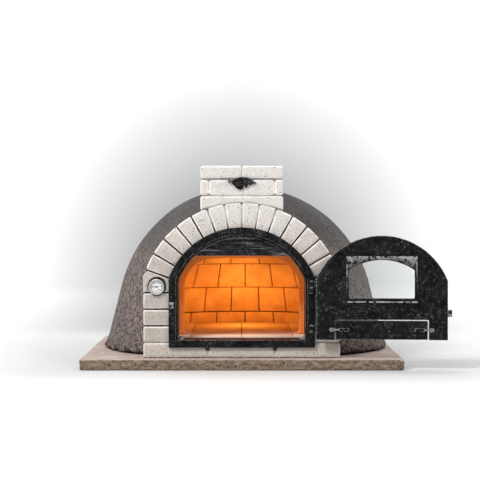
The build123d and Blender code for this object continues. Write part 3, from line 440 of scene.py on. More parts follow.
def slab_material():
    """Cast concrete: smooth pinkish top, darker sandy sides with open pits and a broken top edge; the sides
    are partly painted shade.
    """
    s = Shader("cast_concrete", roughness=0.85, specular=0.3)
    clouds = s.band(s.noise(11, 5, rough=0.65), 0.34, 0.66)
    top = s.mix(clouds, (0.47, 0.362, 0.315), (0.66, 0.53, 0.47))
    top = s.mix(s.band(s.noise(38, 4), 0.58, 0.72, 0.0, 0.45), top, (0.24, 0.18, 0.15))
    sandy = s.noise(85, 7, stretch=(0.45, 0.45, 1.0), rough=0.8)
    side = s.mix(s.band(sandy, 0.38, 0.62), (0.105, 0.073, 0.050), (0.36, 0.270, 0.195))
    side = s.mix(s.band(s.noise(4, 2), 0.5, 0.75, 0.0, 0.5), side, (0.24, 0.13, 0.078))
    # Sides darker than the top: partly their sandy finish, partly painted shade.
    facing_up = s.band(s.part("Z", s.geometry("Normal")), 0.4, 0.9)
    body = s.mix(facing_up, side, top)
    holes = s.times(s.band(s.cells(95), 0.20, 0.30, 1.0, 0.0), s.band(s.noise(38, 2), 0.48, 0.54))
    arris = s.band(s.part("Z"), SLAB_TOP - 6 * MM, SLAB_TOP - 1 * MM)
    broken = s.times(arris, s.band(s.noise(110, 3, rough=0.7), 0.52, 0.60))
    mostly_sides = s.band(facing_up, 0.1, 0.6, 1.0, 0.15)
    body = s.mix(s.times(s.math("MAXIMUM", holes, broken), mostly_sides), body, (0.016, 0.011, 0.008))
    grain = s.band(s.noise(420, 4, rough=0.8), 0.32, 0.56)
    body = s.mix(grain, s.mix(0.55, body, (0.05, 0.036, 0.026)), body)
    s.colour(s.mix(s.attribute("pit"), body, (0.025, 0.017, 0.012)))
    s.bump(s.noise(330, 5, rough=0.7), 0.8 * MM, 0.7)
    return s.material


def iron_material(name, streaks=0.0, wear_and_glints=1.0):
    """Sand cast iron under black heat-proof paint, grey on its edges and in flecks: rubbed paint, and
    painted highlights and glints.
    """
    s = Shader(name, roughness=0.5, specular=0.08)
    patches = s.band(s.noise(26, 5, rough=0.7), 0.38, 0.66)
    body = s.mix(patches, (0.0022, 0.0022, 0.0024), (0.0095, 0.0100, 0.0106))
    mottle = s.band(s.noise(85, 6, rough=0.85), 0.51, 0.66, 0.0, 0.9 * wear_and_glints)
    body = s.mix(mottle, body, (0.056, 0.060, 0.065))
    # Light grey flecks: rubbed paint, and painted glints.
    flecks = s.band(s.noise(250, 3, rough=0.7), 0.60, 0.68, 0.0, wear_and_glints)
    body = s.mix(s.times(flecks, s.band(s.noise(17, 4), 0.50, 0.62)), body, (0.36, 0.37, 0.38))
    if streaks:
        brushed = s.noise(120, 6, stretch=(0.07, 1.0, 1.0), rough=0.8)
        body = s.mix(s.band(brushed, 0.52, 0.62, 0.0, streaks), body, (0.22, 0.22, 0.23))
    # Grey on the convex edges: worn paint, and a painted highlight along them.
    edge = s.band(s.geometry("Pointiness"), 0.52, 0.56)
    worn = s.times(edge, s.band(s.noise(75, 4, rough=0.7), 0.40, 0.56))
    s.colour(s.mix(worn, body, (0.36, 0.36, 0.37)))
    s.rough(s.band(s.noise(60, 4), 0.3, 0.7, 0.30, 0.55))
    s.bump(s.noise(150, 6, rough=0.75), 1.3 * MM, 1.0)
    s.bump(s.noise(700, 3), 0.25 * MM, 0.8)
    return s.material


def steel_material(name, tone=(0.45, 0.45, 0.46), roughness=0.35):
    """Bare or blackened metal, unevenly dulled."""
    s = Shader(name, metallic=1.0)
    s.colour(s.mottled(150, 4, tuple(0.6 * channel for channel in tone), tone, 0.35, 0.7))
    s.rough(s.band(s.noise(300, 3), 0.3, 0.7, roughness, roughness + 0.2))
    s.bump(s.noise(800, 3), 0.1 * MM, 0.5)
    return s.material


def firebrick_material(name, first, second, sooted=1.0):
    """Refractory brick behind the mouth: sooted towards the crown, and the hearth's front pale: clear of
    ash, and painted light from the mouth.
    """
    s = Shader(name, roughness=0.93, specular=0.2)
    height = s.part("Z")
    body = s.mottled(14, 4, first, second, 0.3, 0.7)
    # Hearth's front painted pale: clear of ash, and painted light falling in through the mouth.
    at_front = s.band(s.part("Y"), *SWEPT_AND_LIT_HEARTH_Y, 1.0, 0.0)
    on_hearth = s.band(height, HEARTH_TOP + 1 * MM, HEARTH_TOP + 4 * MM, 1.0, 0.0)
    body = s.mix(s.times(at_front, on_hearth), body, (0.86, 0.74, 0.68))
    patches = s.band(s.noise(9, 4), 0.3, 0.6, 0.35 * sooted, sooted)
    body = s.mix(s.times(s.band(height, *SOOT_Z), patches), body, (0.10, 0.06, 0.04))
    grain = s.band(s.noise(420, 3, rough=0.7), 0.35, 0.6)
    s.colour(s.mix(grain, s.mix(0.35, body, (0.12, 0.06, 0.03)), body))
    s.bump(s.noise(300, 5, rough=0.7), 1.2 * MM, 0.8)
    return s.material


def soft_material(name, first, second, scale, depth):
    """Plain mineral or fibre surface mottled between two colours."""
    s = Shader(name, roughness=0.95, specular=0.15)
    s.colour(s.mottled(scale, 4, first, second))
    s.bump(s.noise(scale * 4, 4), depth)
    return s.material


def enamel_material(name, first, second):
    """Enamel or ink with a faint orange peel."""
    s = Shader(name, roughness=0.35)
    s.colour(s.mottled(400, 3, first, second, 0.4, 0.6))
    s.bump(s.noise(900, 2), 0.03 * MM)
    return s.material


def cover_glass_material():
    """Thin flat cover glass, nearly clear so that the dial behind it stays bright."""
    s = Shader("gauge_glass", roughness=0.06)
    s.shader.inputs["Alpha"].default_value = 0.07
    s.colour(s.mottled(200, 2, (0.90, 0.91, 0.92), (0.97, 0.98, 0.98), 0.4, 0.6))
    s.rough(s.band(s.noise(120, 2), 0.4, 0.7, 0.04, 0.12))
    return s.material


def glass_material():
    """Heat-proof window glass, faintly smeared."""
    s = Shader("clear_glass", roughness=0.03)
    s.shader.inputs["Transmission Weight"].default_value = 1.0
    s.shader.inputs["IOR"].default_value = 1.45
    s.colour(s.mottled(8, 2, (0.97, 0.985, 0.98), (0.93, 0.955, 0.95), 0.3, 0.7))
    s.rough(s.band(s.noise(30, 3), 0.45, 0.75, 0.02, 0.08))
    return s.material


BRICK = brick_material()
MORTAR = mortar_material()
RENDER = render_material()
SLAB = slab_material()
IRON = iron_material("cast_iron_paint")
PLAIN_IRON = iron_material("plain_iron_paint", wear_and_glints=0.1)
SCOURED = iron_material("scoured_iron_paint", streaks=0.8)
STEEL = steel_material("plain_steel")
BLACKENED = steel_material("blackened_steel", (0.055, 0.055, 0.057))
RUBBED = steel_material("rubbed_iron", (0.30, 0.30, 0.31), 0.40)
BRIGHT = steel_material("bright_bezel", (0.86, 0.85, 0.84), 0.25)
FIREBRICK = firebrick_material("firebrick", (0.56, 0.30, 0.15), (0.72, 0.44, 0.25))
# The lining's orange: partly its own colour, partly painted firelight.
CASTABLE_AND_FIRELIGHT = firebrick_material("castable_lining_and_firelight", (0.88, 0.28, 0.06), (0.94, 0.38, 0.11), sooted=0.35)
TILE = firebrick_material("hearth_tile", (0.56, 0.34, 0.27), (0.66, 0.44, 0.36))
BOARD = soft_material("hearth_board", (0.52, 0.49, 0.44), (0.66, 0.63, 0.58), 60, 0.8 * MM)
BLANKET = soft_material("fibre_blanket", (0.74, 0.73, 0.70), (0.86, 0.85, 0.82), 90, 1.5 * MM)
ROPE = soft_material("glass_rope", (0.03, 0.03, 0.03), (0.09, 0.09, 0.09), 900, 0.5 * MM)
ENAMEL = enamel_material("white_enamel", (0.86, 0.83, 0.82), (0.92, 0.90, 0.89))
INK = enamel_material("black_ink", (0.012, 0.012, 0.012), (0.03, 0.03, 0.03))
RED = enamel_material("red_ink", (0.42, 0.02, 0.02), (0.50, 0.04, 0.03))
GLASS = glass_material()
COVER_GLASS = cover_glass_material()


# Masonry --------------------------------------------------------------------------------------
def gauge_hole(places):
    """1 inside the hole in the facade for the thermometer, a little above its centre and to the right. The
    bricks are sunk there and painted as shade.
    """
    shift_x, shift_z = GAUGE_HOLE_SHIFT
    across = places[:, 0] - GAUGE_CENTRE.x - shift_x
    along = places[:, 2] - GAUGE_CENTRE.z - shift_z
    away = np.hypot(across, along) + 1.0 * MM * value_noise(places, 8 * MM, seed=15)
    return (1 - smooth(*GAUGE_HOLE_RADII, away)) * (places[:, 1] < FACADE_Y + 4 * MM)


def weather_bricks(node):
    """Bricks with broad worn bevels, uneven faces, chipped edges and open pits."""
    mesh = node_mesh(node)
    bevel(mesh, width=4.6 * MM, segments=1)
    piece = remesh(finish_mesh(mesh, f"{node}_worn"), voxel=1.9 * MM)
    places, normals = points_of(piece)
    facing = -normals[:, 1]
    # Bevels that face partly forward, where the brick material paints a highlight.
    rim = smooth(0.15, 0.5, facing) * (1 - smooth(0.8, 0.97, facing))
    on_edge = 1 - smooth(0.80, 0.97, np.abs(normals).max(axis=1))
    pit = spots(places, spacing=13 * MM, radius=2.6 * MM, chance=0.30, seed=7)
    chips = spots(places, spacing=24 * MM, radius=6 * MM, chance=0.30, seed=19) * on_edge
    push = 0.5 * MM * fractal(places, 30 * MM, seed=3) + 0.22 * MM * value_noise(places, 5 * MM, seed=11)
    push -= 2.2 * MM * pit + 3.0 * MM * chips
    push += 0.5 * MM * rim * value_noise(places, 9 * MM, seed=13)
    hole = gauge_hole(places)
    push -= GAUGE_HOLE_DEPTH * hole
    set_points(piece, places + normals * push[:, None])
    set_attribute(piece, "rim", rim * (0.65 + 0.35 * value_noise(places, 14 * MM, seed=5)))
    # The thermometer's hole goes into the pit attribute too, painted as shade.
    set_attribute(piece, "pit", np.clip(np.maximum(pit * 2.2, hole), 0, 1))
    place(piece, BRICK, "oven", "facade_brick", node)


def facade_bricks():
    for node in ("sill_bricks", "jamb_bricks_left", "jamb_bricks_right", "springer_left", "springer_right",
                 "arch_voussoirs_left", "arch_voussoirs_right", "spandrel_block",
                 "chimney_slips_lower", "chimney_slips_upper"):
        weather_bricks(node)


def arch_joint(mesh, front, back):
    """Curved strip of mortar along the crown of the arch."""
    inner, outer = ARCH_OUTER - 1 * MM, ARCH_OUTER + 7 * MM
    spread, steps = math.radians(22.5), 60
    corners = ((inner, front), (outer, front), (outer, back), (inner, back))
    rings = []
    for step in range(steps + 1):
        angle = -spread + 2 * spread * step / steps
        rings.append([mesh.verts.new((r * math.sin(angle), y, ARCH_CENTRE_Z + r * math.cos(angle)))
                      for r, y in corners])
    for first, second in zip(rings[:-1], rings[1:]):
        for here in range(4):
            there = (here + 1) % 4
            mesh.faces.new((first[here], first[there], second[there], second[here]))
    mesh.faces.new(rings[0][::-1])
    mesh.faces.new(rings[-1])


def sill_joint(mesh, x, front, back):
    """Upright strip of mortar between two sill bricks."""
    bottom, top = SLAB_TOP + 1 * MM, SILL_TOP - 3 * MM
    middle = Vector((x, (front + back) / 2, (bottom + top) / 2))
    size = Matrix.Diagonal((7 * MM, back - front, top - bottom, 1))
    bmesh.ops.create_cube(mesh, matrix=Matrix.Translation(middle) @ size)


def flush_pointing():
    """Flush mortar between the crown of the arch and the block above it, and in the sill's joints."""
    front, back = FACADE_Y + 2.2 * MM, FACADE_Y + 8 * MM
    mesh = bmesh.new()
    arch_joint(mesh, front, back)
    for x in SILL_JOINTS_X:
        sill_joint(mesh, x, front, back)
    bmesh.ops.recalc_face_normals(mesh, faces=mesh.faces)
    piece = remesh(finish_mesh(mesh, "flush_pointing"), voxel=1.6 * MM)
    places, normals = points_of(piece)
    push = 0.9 * MM * fractal(places, 12 * MM, seed=141)
    push -= 1.2 * MM * spots(places, spacing=14 * MM, radius=4 * MM, chance=0.4, seed=143)
    set_points(piece, places + normals * push[:, None])
    place(piece, MORTAR, "oven", "mortar")


def slab():
    """Concrete slab with chipped arrises and corners, and air holes in its sides."""
    piece = remesh(finish_mesh(node_mesh("base_slab"), "base_slab_cast"), voxel=3.2 * MM)
    places, normals = points_of(piece)
    half = SLAB_HIGH.x
    from_side = half - np.abs(places[:, :2]).max(axis=1)
    from_face = np.minimum(places[:, 2] - SLAB_LOW.z, SLAB_TOP - places[:, 2])
    from_corner = half - np.abs(places[:, :2]).min(axis=1)
    near_edge = (1 - smooth(4 * MM, 16 * MM, from_side)) * (1 - smooth(3 * MM, 12 * MM, from_face))
    near_corner = (1 - smooth(4 * MM, 22 * MM, from_side)) * (1 - smooth(4 * MM, 22 * MM, from_corner))
    chips = spots(places, spacing=40 * MM, radius=13 * MM, chance=0.42, seed=23) * near_edge
    on_side = 1 - smooth(1 * MM, 8 * MM, from_side)
    pit = spots(places, spacing=17 * MM, radius=3.6 * MM, chance=0.42, seed=29) * on_side
    sunk = 7 * MM * chips + 4.0 * MM * pit
    sunk += 9 * MM * near_corner * np.clip(0.5 + fractal(places, 18 * MM, octaves=2, seed=31), 0, 1)
    sunk += 0.8 * MM * near_edge * (1 + value_noise(places, 7 * MM, seed=37))
    push = 0.5 * MM * fractal(places, 90 * MM, seed=41) - sunk
    moved = places + normals * push[:, None]
    moved[:, 2] = np.maximum(moved[:, 2], SLAB_LOW.z)
    set_points(piece, moved)
    set_attribute(piece, "pit", np.clip(pit * 2.5 + chips * 0.5, 0, 1))
    place(piece, SLAB, "oven", "slab_concrete", "base_slab")


def faces_outward(places, normals):
    """True on the dome's outer skin, which faces away from the dome's middle."""
    upward = (places[:, 2] - DOME_MIDDLE_Z) * normals[:, 2]
    return places[:, 0] * normals[:, 0] + places[:, 1] * normals[:, 1] + upward > 0


def dome_skin():
    """Hand-brushed render over the dome and neck, lumpy and ragged along its foot."""
    piece = remesh(finish_mesh(node_mesh("dome_render"), "dome_render_brushed"), voxel=3.6 * MM)
    relax = piece.modifiers.new("soften", "SMOOTH")
    relax.factor = 0.5
    relax.iterations = 6
    applied(piece)
    places, normals = points_of(piece)
    above = places[:, 2] - SLAB_TOP
    brushed = places * np.array([1.0, 1.0, 0.3])
    coarse = 0.25 + 0.75 * (1 - smooth(*COARSE_RENDER_Z, places[:, 2]))
    push = 1.8 * MM * fractal(places, 140 * MM, seed=51)
    push += 0.9 * MM * value_noise(brushed, 7 * MM, seed=53) * coarse
    push += 0.35 * MM * value_noise(places, 6 * MM, seed=57)
    foot = 1 - smooth(10 * MM, 55 * MM, above)
    lumps = spots(places, spacing=42 * MM, radius=26 * MM, chance=0.6, seed=61)
    push += foot * (4 * MM + 6 * MM * lumps + 3 * MM * fractal(places, 22 * MM, octaves=2, seed=67))
    ragged = 5 * MM + 5 * MM * fractal(places, 16 * MM, octaves=2, seed=71)
    undercut = 1 - smooth(-2 * MM, 5 * MM, above - ragged)
    pit = spots(places, spacing=26 * MM, radius=3.5 * MM, chance=0.18, seed=73)
    push -= 9 * MM * undercut + 2.5 * MM * pit
    push *= faces_outward(places, normals) & (above > 0.5 * MM)
    moved = places + normals * push[:, None]
    moved[:, 2] = np.maximum(moved[:, 2], SLAB_TOP)
    at_facade = places[:, 1] < DOME_FRONT_Y + 3 * MM
    moved[:, 1] = np.where(at_facade, np.minimum(moved[:, 1], DOME_FRONT_Y), moved[:, 1])
    set_points(piece, moved)
    # The pit attribute also holds the undercut along the foot, painted as shade.
    set_attribute(piece, "pit", np.clip(pit * 2 + undercut * 0.9, 0, 1))
    place(piece, RENDER, "oven", "render", "dome_render")


def inner_masonry():
    """Firebricks of the dome, vault and hearth, with arrises worn round."""
    courses = [f"dome_course_{index}" for index in range(1, 7)]
    for node in courses + ["hearth_tiles", "vault_bricks"]:
        mesh = node_mesh(node)
        bevel(mesh, width=1.0 * MM)
        material = TILE if node == "hearth_tiles" else FIREBRICK
        place(finish_mesh(mesh, f"{node}_fired"), material, "oven", "firebrick", node)
    coat(CASTABLE_AND_FIRELIGHT, "vault_crown")
    coat(FIREBRICK, "dome_keystone")


def doorway():
    """Cast surround between the mouth and the dome, with a softly rounded edge."""
    mesh = node_mesh("doorway_arch")
    bevel(mesh, width=7 * MM, segments=4)
    piece = remesh(finish_mesh(mesh, "doorway_arch_cast"), voxel=2.6 * MM)
    places, normals = points_of(piece)
    push = 0.9 * MM * fractal(places, 35 * MM, seed=85)
    push -= 1.8 * MM * spots(places, spacing=18 * MM, radius=3 * MM, chance=0.25, seed=87)
    set_points(piece, places + normals * push[:, None])
    place(piece, CASTABLE_AND_FIRELIGHT, "oven", "firebrick", "doorway_arch")


def chimney_castings():
    """Flue block behind the facade, lightly pitted, with the mortared core above it."""
    mesh = node_mesh("chimney_base")
    bevel(mesh, width=4 * MM)
    piece = remesh(finish_mesh(mesh, "chimney_base_cast"), voxel=3.5 * MM)
    places, normals = points_of(piece)
    pit = spots(places, spacing=20 * MM, radius=3 * MM, chance=0.25, seed=81)
    push = 0.8 * MM * fractal(places, 40 * MM, seed=83) - 2.0 * MM * pit
    set_points(piece, places + normals * push[:, None])
    set_attribute(piece, "pit", np.clip(pit * 2, 0, 1))
    set_attribute(piece, "rim", np.zeros(len(places)))
    place(piece, BRICK, "oven", "mortar", "chimney_base")
    coat(MORTAR, "flue_core_lower", "flue_core_upper", "facade_mortar")


# Iron and steel -------------------------------------------------------------------------------
def casting(node, body, voxel=1.6 * MM, edge=1.2 * MM, material=IRON, sunk=0.0):
    """Iron casting: rounded arrises and the faint orange-peel of a sand mould, sunk by a clearance."""
    mesh = node_mesh(node)
    bevel(mesh, edge)
    piece = remesh(finish_mesh(mesh, f"{node}_cast"), voxel)
    places, normals = points_of(piece)
    relief = fractal(places, 12 * MM, seed=91) + 0.6 * fractal(places, 60 * MM, octaves=2, seed=97)
    push = 0.22 * MM * relief - sunk
    set_points(piece, places + normals * push[:, None])
    place(piece, material, body, "cast_iron", node)


def small_part(node, body, material, slot, edge, segments=2, scale=1.0):
    """CAD node with softened edges. The scale fits a thermometer part round the dial's centre."""
    mesh = node_mesh(node)
    bevel(mesh, edge, segments)
    if scale != 1.0:
        about = Matrix.Translation(-GAUGE_CENTRE)
        bmesh.ops.scale(mesh, vec=(scale, 1, scale), space=about, verts=mesh.verts)
    place(finish_mesh(mesh, f"{node}_finished"), material, body, slot, node)


def iron_parts():
    casting("door_frame", "oven", voxel=1.5 * MM, edge=0.8 * MM, sunk=0.45 * MM)
    casting("door_panel", "door", edge=0.8 * MM)
    casting("air_flap", "air_flap", voxel=1.5 * MM)
    casting("smoke_baffle", "oven", material=SCOURED)
    for node, body in (("frame_gussets", "oven"), ("latch_keeper", "oven"),
                       ("flap_handle", "air_flap"), ("latch_lever", "latch"), ("latch_grip", "latch")):
        small_part(node, body, IRON, "cast_iron", edge=0.8 * MM)
    small_part("glass_retainer", "door", PLAIN_IRON, "cast_iron", edge=0.8 * MM)
    small_part("flap_saddles", "door", RUBBED, "cast_iron", edge=0.6 * MM)


def steel_parts():
    for node, body in (("frame_anchors", "oven"), ("retainer_screws", "door"), ("glass_clip", "door"),
                       ("latch_bolt", "door"), ("flap_handle_screws", "air_flap")):
        small_part(node, body, BLACKENED, "steel", edge=0.4 * MM)
    for node, body in (("hinge_pins", "oven"), ("flap_pins", "air_flap"), ("damper_rivets", "flue_damper")):
        small_part(node, body, STEEL, "steel", edge=0.4 * MM)
    small_part("damper_plate", "flue_damper", STEEL, "steel", edge=0.3 * MM, segments=1)


# Thermometer ----------------------------------------------------------------------------------
def dial_point(angle, radius, y):
    """Point on the dial; angle runs clockwise from the top, in degrees."""
    turn = math.radians(angle)
    return Vector((GAUGE_CENTRE.x + radius * math.sin(turn), y, GAUGE_CENTRE.z + radius * math.cos(turn)))


def dial_tick(mesh, angle, inner, half_width):
    """Thin raised bar that points at the dial's centre."""
    turn = math.radians(angle)
    across = half_width * Vector((math.cos(turn), 0, -math.sin(turn)))
    deep = Vector((0, 0.3 * MM, 0))
    y = GAUGE_LOW.y - 0.15 * MM
    near = dial_point(angle, inner * GAUGE_FIT, y)
    far = dial_point(angle, TICK_OUTER * GAUGE_FIT, y)
    corners = (near - across, near + across, far + across, far - across)
    prism(mesh, [mesh.verts.new(corner) for corner in corners],
          [mesh.verts.new(corner + deep) for corner in corners])


def dial_marks():
    """Tick marks round the scale, long and broad ones at the numbers."""
    mesh = bmesh.new()
    for index in range(TICKS):
        angle = SCALE_START + SCALE_SWEEP * index / (TICKS - 1)
        if index % LONG_TICK_EVERY == 0:
            dial_tick(mesh, angle, inner=17.0 * MM, half_width=0.55 * MM)
        else:
            dial_tick(mesh, angle, inner=19.6 * MM, half_width=0.3 * MM)
    bmesh.ops.recalc_face_normals(mesh, faces=mesh.faces)
    place(finish_mesh(mesh, "thermometer_ticks"), INK, "oven", "needle_black")


def dial_numbers():
    """Plain numbers round the scale."""
    for index in range(NUMBERS):
        name = f"thermometer_number_{index}"
        text = bpy.data.curves.new(name, "FONT")
        text.body = str(index * NUMBER_STEP)
        text.size = 5.2 * MM
        text.align_x = "CENTER"
        text.align_y = "CENTER"
        text.extrude = 0.12 * MM
        label = new_object(name, text)
        angle = SCALE_START + SCALE_SWEEP * index / (NUMBERS - 1)
        label.location = dial_point(angle, NUMBER_RADIUS, GAUGE_LOW.y - 0.1 * MM)
        label.rotation_euler = (math.radians(90), 0, 0)
        place(label, INK, "oven", "needle_black")


def dial_red_mark():
    """Small raised red spot at the foot of the dial."""
    mark = bmesh.new()
    centre = dial_point(180, RED_MARK_RADIUS, GAUGE_LOW.y - 0.1 * MM)
    facing_front = Matrix.Translation(centre) @ Matrix.Rotation(math.radians(90), 4, "X")
    bmesh.ops.create_cone(mark, cap_ends=True, segments=20, radius1=2.4 * MM, radius2=2.1 * MM,
                          depth=0.3 * MM, matrix=facing_front)
    place(finish_mesh(mark, "thermometer_red_mark"), RED, "oven", "needle_black")


def thermometer():
    small_part("thermometer_bezel", "oven", BRIGHT, "steel", edge=0.5 * MM, segments=3, scale=GAUGE_FIT)
    small_part("thermometer_case", "oven", STEEL, "steel", edge=0.4 * MM)
    small_part("thermometer_dial", "oven", ENAMEL, "dial_white", edge=0.2 * MM, scale=GAUGE_FIT)
    small_part("thermometer_needle", "needle", INK, "needle_black", edge=0.1 * MM, segments=1)
    small_part("thermometer_glass", "oven", COVER_GLASS, "glass", edge=0.2 * MM, scale=GAUGE_FIT)
    coat(STEEL, "thermometer_stem")
    dial_marks()
    dial_numbers()
    dial_red_mark()


# Damper pull ----------------------------------------------------------------------------------
def leaf_point(along, down):
    """Point of the leaf's face: along runs from stalk to tip, down from the upper edge to the lower."""
    low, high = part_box("damper_handle")
    width, tall = high.x - low.x, high.z - low.z
    swell = math.sin(math.pi * along)
    spine = (low.z + high.z) / 2 + tall * (0.12 * swell - 0.10 * along**2)
    upper = tall * 0.40 * math.sin(math.pi * min(1.0, 0.10 + 0.88 * along)) ** 0.8
    notched = sum(depth * math.exp(-((along - middle) / LEAF_NOTCH_WIDTH) ** 2)
                  for middle, depth in LEAF_NOTCHES)
    belly = 0.10 + 0.86 * math.sin(math.pi * along**0.8) ** 1.6
    lower = tall * belly * (1 - notched) * (1 - 0.50 * along)
    dome = math.sin(math.pi * down) ** 0.7 * math.sin(math.pi * min(1, 0.06 + 0.9 * along)) ** 0.6
    rib = 0.5 + 0.5 * math.cos(LEAF_RIBS * math.pi * (down + 0.30 * swell))
    x = low.x + width * (LEAF_START + (1 - LEAF_START) * along)
    y = high.y - (LEAF_RIM + LEAF_DOME * dome + LEAF_RIB * rib * dome)
    return x, y, spine + upper * (1 - down) - lower * down


def damper_leaf():
    """Cast pull in the shape of a notched leaf, ribbed along its length, with a flat back."""
    columns, rows = 90, 28
    mesh = bmesh.new()
    grid = [[mesh.verts.new(leaf_point(i / columns, j / rows)) for j in range(rows + 1)]
            for i in range(columns + 1)]
    for i in range(columns):
        for j in range(rows):
            mesh.faces.new((grid[i][j], grid[i][j + 1], grid[i + 1][j + 1], grid[i + 1][j]))
    rim = [edge for edge in mesh.edges if edge.is_boundary]
    skirt = bmesh.ops.extrude_edge_only(mesh, edges=rim)["geom"]
    for vert in (part for part in skirt if isinstance(part, bmesh.types.BMVert)):
        vert.co.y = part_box("damper_handle")[1].y
    bmesh.ops.holes_fill(mesh, edges=[edge for edge in mesh.edges if edge.is_boundary])
    bmesh.ops.recalc_face_normals(mesh, faces=mesh.faces)
    leaf = finish_mesh(mesh, "damper_pull_leaf", sharp_angle=50)
    place(leaf, PLAIN_IRON, "flue_damper", "cast_iron", "damper_handle")


def damper_scroll():
    """Rolled stalk of the leaf: a tapering round bar wound into a flat spiral."""
    low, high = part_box("damper_handle")
    across, up = SCROLL_MIDDLE
    middle = Vector((low.x + across * (high.x - low.x), high.y - 3.4 * MM,
                     (low.z + high.z) / 2 + up * (high.z - low.z)))
    curve = bpy.data.curves.new("damper_pull_scroll", "CURVE")
    curve.dimensions = "3D"
    curve.bevel_depth = 1.0 * MM
    curve.bevel_resolution = 5
    curve.use_fill_caps = True
    line = curve.splines.new("POLY")
    line.points.add(SCROLL_STEPS)
    for step, point in enumerate(line.points):
        share = step / SCROLL_STEPS
        turn = -math.pi * 0.35 + 2 * math.pi * SCROLL_TURNS * (1 - share)
        radius = SCROLL_INNER + (SCROLL_OUTER - SCROLL_INNER) * (1 - share)
        point.co = (*(middle + Vector((radius * math.cos(turn), 0, radius * math.sin(turn)))), 1.0)
        point.radius = 2.4 - 0.9 * share
    drawn = new_object("damper_pull_scroll", curve)
    solid = bpy.data.meshes.new_from_object(drawn)
    bpy.data.objects.remove(drawn)
    piece = new_object("damper_pull_scroll", solid)
    for polygon in piece.data.polygons:
        polygon.use_smooth = True
    place(piece, PLAIN_IRON, "flue_damper", "cast_iron", "damper_handle")


def remaining_nodes():
    """The other CAD nodes whose shape is right as it stands."""
    coat(BOARD, "hearth_bed")
    coat(BLANKET, "dome_insulation")
    coat(ROPE, "glass_gasket")
    coat(GLASS, "door_glass")
    coat(STEEL, "damper_guide")


# Stage ----------------------------------------------------------------------------------------
def paper_material():
    """Studio paper with a soft grey halo of painted shade behind the oven and a faint painted shadow on the
    floor round the slab.
    The halo is round on the backdrop, and narrows as it runs forward over the floor to the oven."""
    s = Shader("studio_paper", roughness=0.9, specular=0.1)
    x, y, z = s.part("X"), s.part("Y"), s.part("Z")
    paper = s.mix(s.noise(2, 2), (0.86, 0.86, 0.86), (0.89, 0.89, 0.89))

    # Painted shade: a grey halo, round on the backdrop and narrowing over the floor.
    narrowing = s.band(y, HALO_FRONT_Y, STAGE_BACK, HALO_FRONT_WIDTH, 1.0, smooth=False)
    across = s.math("DIVIDE", x, narrowing)
    above = s.math("ADD", z, s.band(y, *HALO_LIFT_Y, *HALO_LIFT, smooth=False))
    halo = s.band(s.length(across, above), *HALO_RADII, 1.0, 0.0, smooth=False)
    paper = s.mix(s.times(halo, s.band(y, *HALO_FADE_Y)), paper, (0.28, 0.28, 0.28))

    # Painted contact shadow on the floor round the slab.
    beside = s.math("MAXIMUM", s.math("SUBTRACT", s.math("ABSOLUTE", x), SLAB_HIGH.x), 0.0)
    in_front = s.math("MAXIMUM", s.math("SUBTRACT", SLAB_LOW.y, y), 0.0)
    shade = s.band(s.length(beside, in_front), 0.0, CONTACT_REACH, 1.0, 0.0)
    shade = s.times(shade, s.band(y, *CONTACT_FADE_Y, 1.0, 0.0))
    s.colour(s.mix(shade, paper, (0.66, 0.66, 0.66)))
    return s.material


def stage():
    """Pale floor that sweeps up into a backdrop."""
    foot = STAGE_BACK - SWEEP_RADIUS
    profile = [(STAGE_FRONT, 0.0), (foot, 0.0)]
    for angle in np.linspace(0, math.pi / 2, 17)[1:]:
        profile.append((foot + SWEEP_RADIUS * math.sin(angle), SWEEP_RADIUS * (1 - math.cos(angle))))
    profile.append((STAGE_BACK, STAGE_TOP))
    mesh = bmesh.new()
    rows = [[mesh.verts.new((x, y, z - STAGE_GAP)) for x in (-STAGE_HALF_WIDTH, STAGE_HALF_WIDTH)]
            for y, z in profile]
    for lower, upper in zip(rows[:-1], rows[1:]):
        mesh.faces.new((lower[0], lower[1], upper[1], upper[0]))
    floor = finish_mesh(mesh, "studio_floor")
    floor.data.materials.append(paper_material())


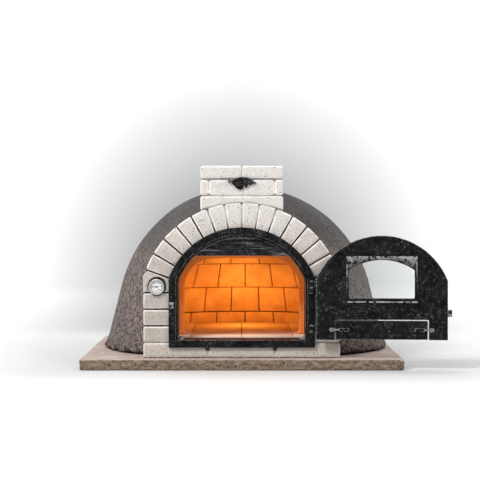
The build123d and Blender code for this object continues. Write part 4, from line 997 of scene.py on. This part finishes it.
def lamp(name, kind, location, target, power, size, colour=(1, 1, 1)):
    """Disc lamp, or a point lamp that neither glass nor a shiny surface shows."""
    data = bpy.data.lights.new(name, kind)
    data.energy = power
    data.color = colour
    is_disc = kind == "AREA"
    if is_disc:
        data.shape = "DISK"
        data.size = size
    else:
        data.shadow_soft_size = size
    light = new_object(name, data)
    light.visible_transmission = is_disc
    light.visible_glossy = is_disc
    light.location = location
    light.rotation_euler = (Vector(target) - Vector(location)).to_track_quat("-Z", "Y").to_euler()


def lights():
    """Studio lamps, two lamps on the backdrop, and the glow of embers inside the oven."""
    lamp("key", "AREA", (-2.4, -3.8, 3.6), target=(0, -0.2, 0.3), power=180, size=1.6)
    lamp("fill", "AREA", (3.2, -3.6, 2.6), target=(0, -0.2, 0.3), power=64, size=2.2)
    lamp("top", "AREA", (0, 0.2, 4.6), target=(0, 0, 0.3), power=85, size=2.4)
    for name, side in (("backdrop_left", -1), ("backdrop_right", 1)):
        lamp(name, "AREA", (3.4 * side, 3.6, 3.8), target=(1.3 * side, STAGE_BACK, 0.7),
             power=BACKDROP_LAMP_POWER, size=2.0)
    lamp("ember_glow", "POINT", (0, 0.15, 0.25), target=(0, 0, 1), power=2.9, size=0.10,
         colour=(1.0, 0.43, 0.055))
    lamp("ember_front", "POINT", (0, -0.40, 0.27), target=(0, 0, 1), power=0.8, size=0.07,
         colour=(1.0, 0.42, 0.07))
    world = bpy.data.worlds.new("studio")
    world.use_nodes = True
    background = world.node_tree.nodes["Background"]
    background.inputs["Color"].default_value = WORLD_COLOUR
    background.inputs["Strength"].default_value = WORLD_STRENGTH
    bpy.context.scene.world = world


def camera():
    data = bpy.data.cameras.new("camera")
    data.lens = CAMERA_LENS
    data.sensor_width = 36
    data.clip_end = 40
    eye = new_object("camera", data)
    eye.location = CAMERA_PLACE
    eye.rotation_euler = (math.radians(90 - CAMERA_TILT), 0, 0)
    bpy.context.scene.camera = eye
    bpy.context.scene.view_settings.view_transform = "Standard"


camera()
slab()
dome_skin()
facade_bricks()
flush_pointing()
inner_masonry()
doorway()
chimney_castings()
iron_parts()
steel_parts()
thermometer()
damper_leaf()
damper_scroll()
remaining_nodes()
stage()
lights()
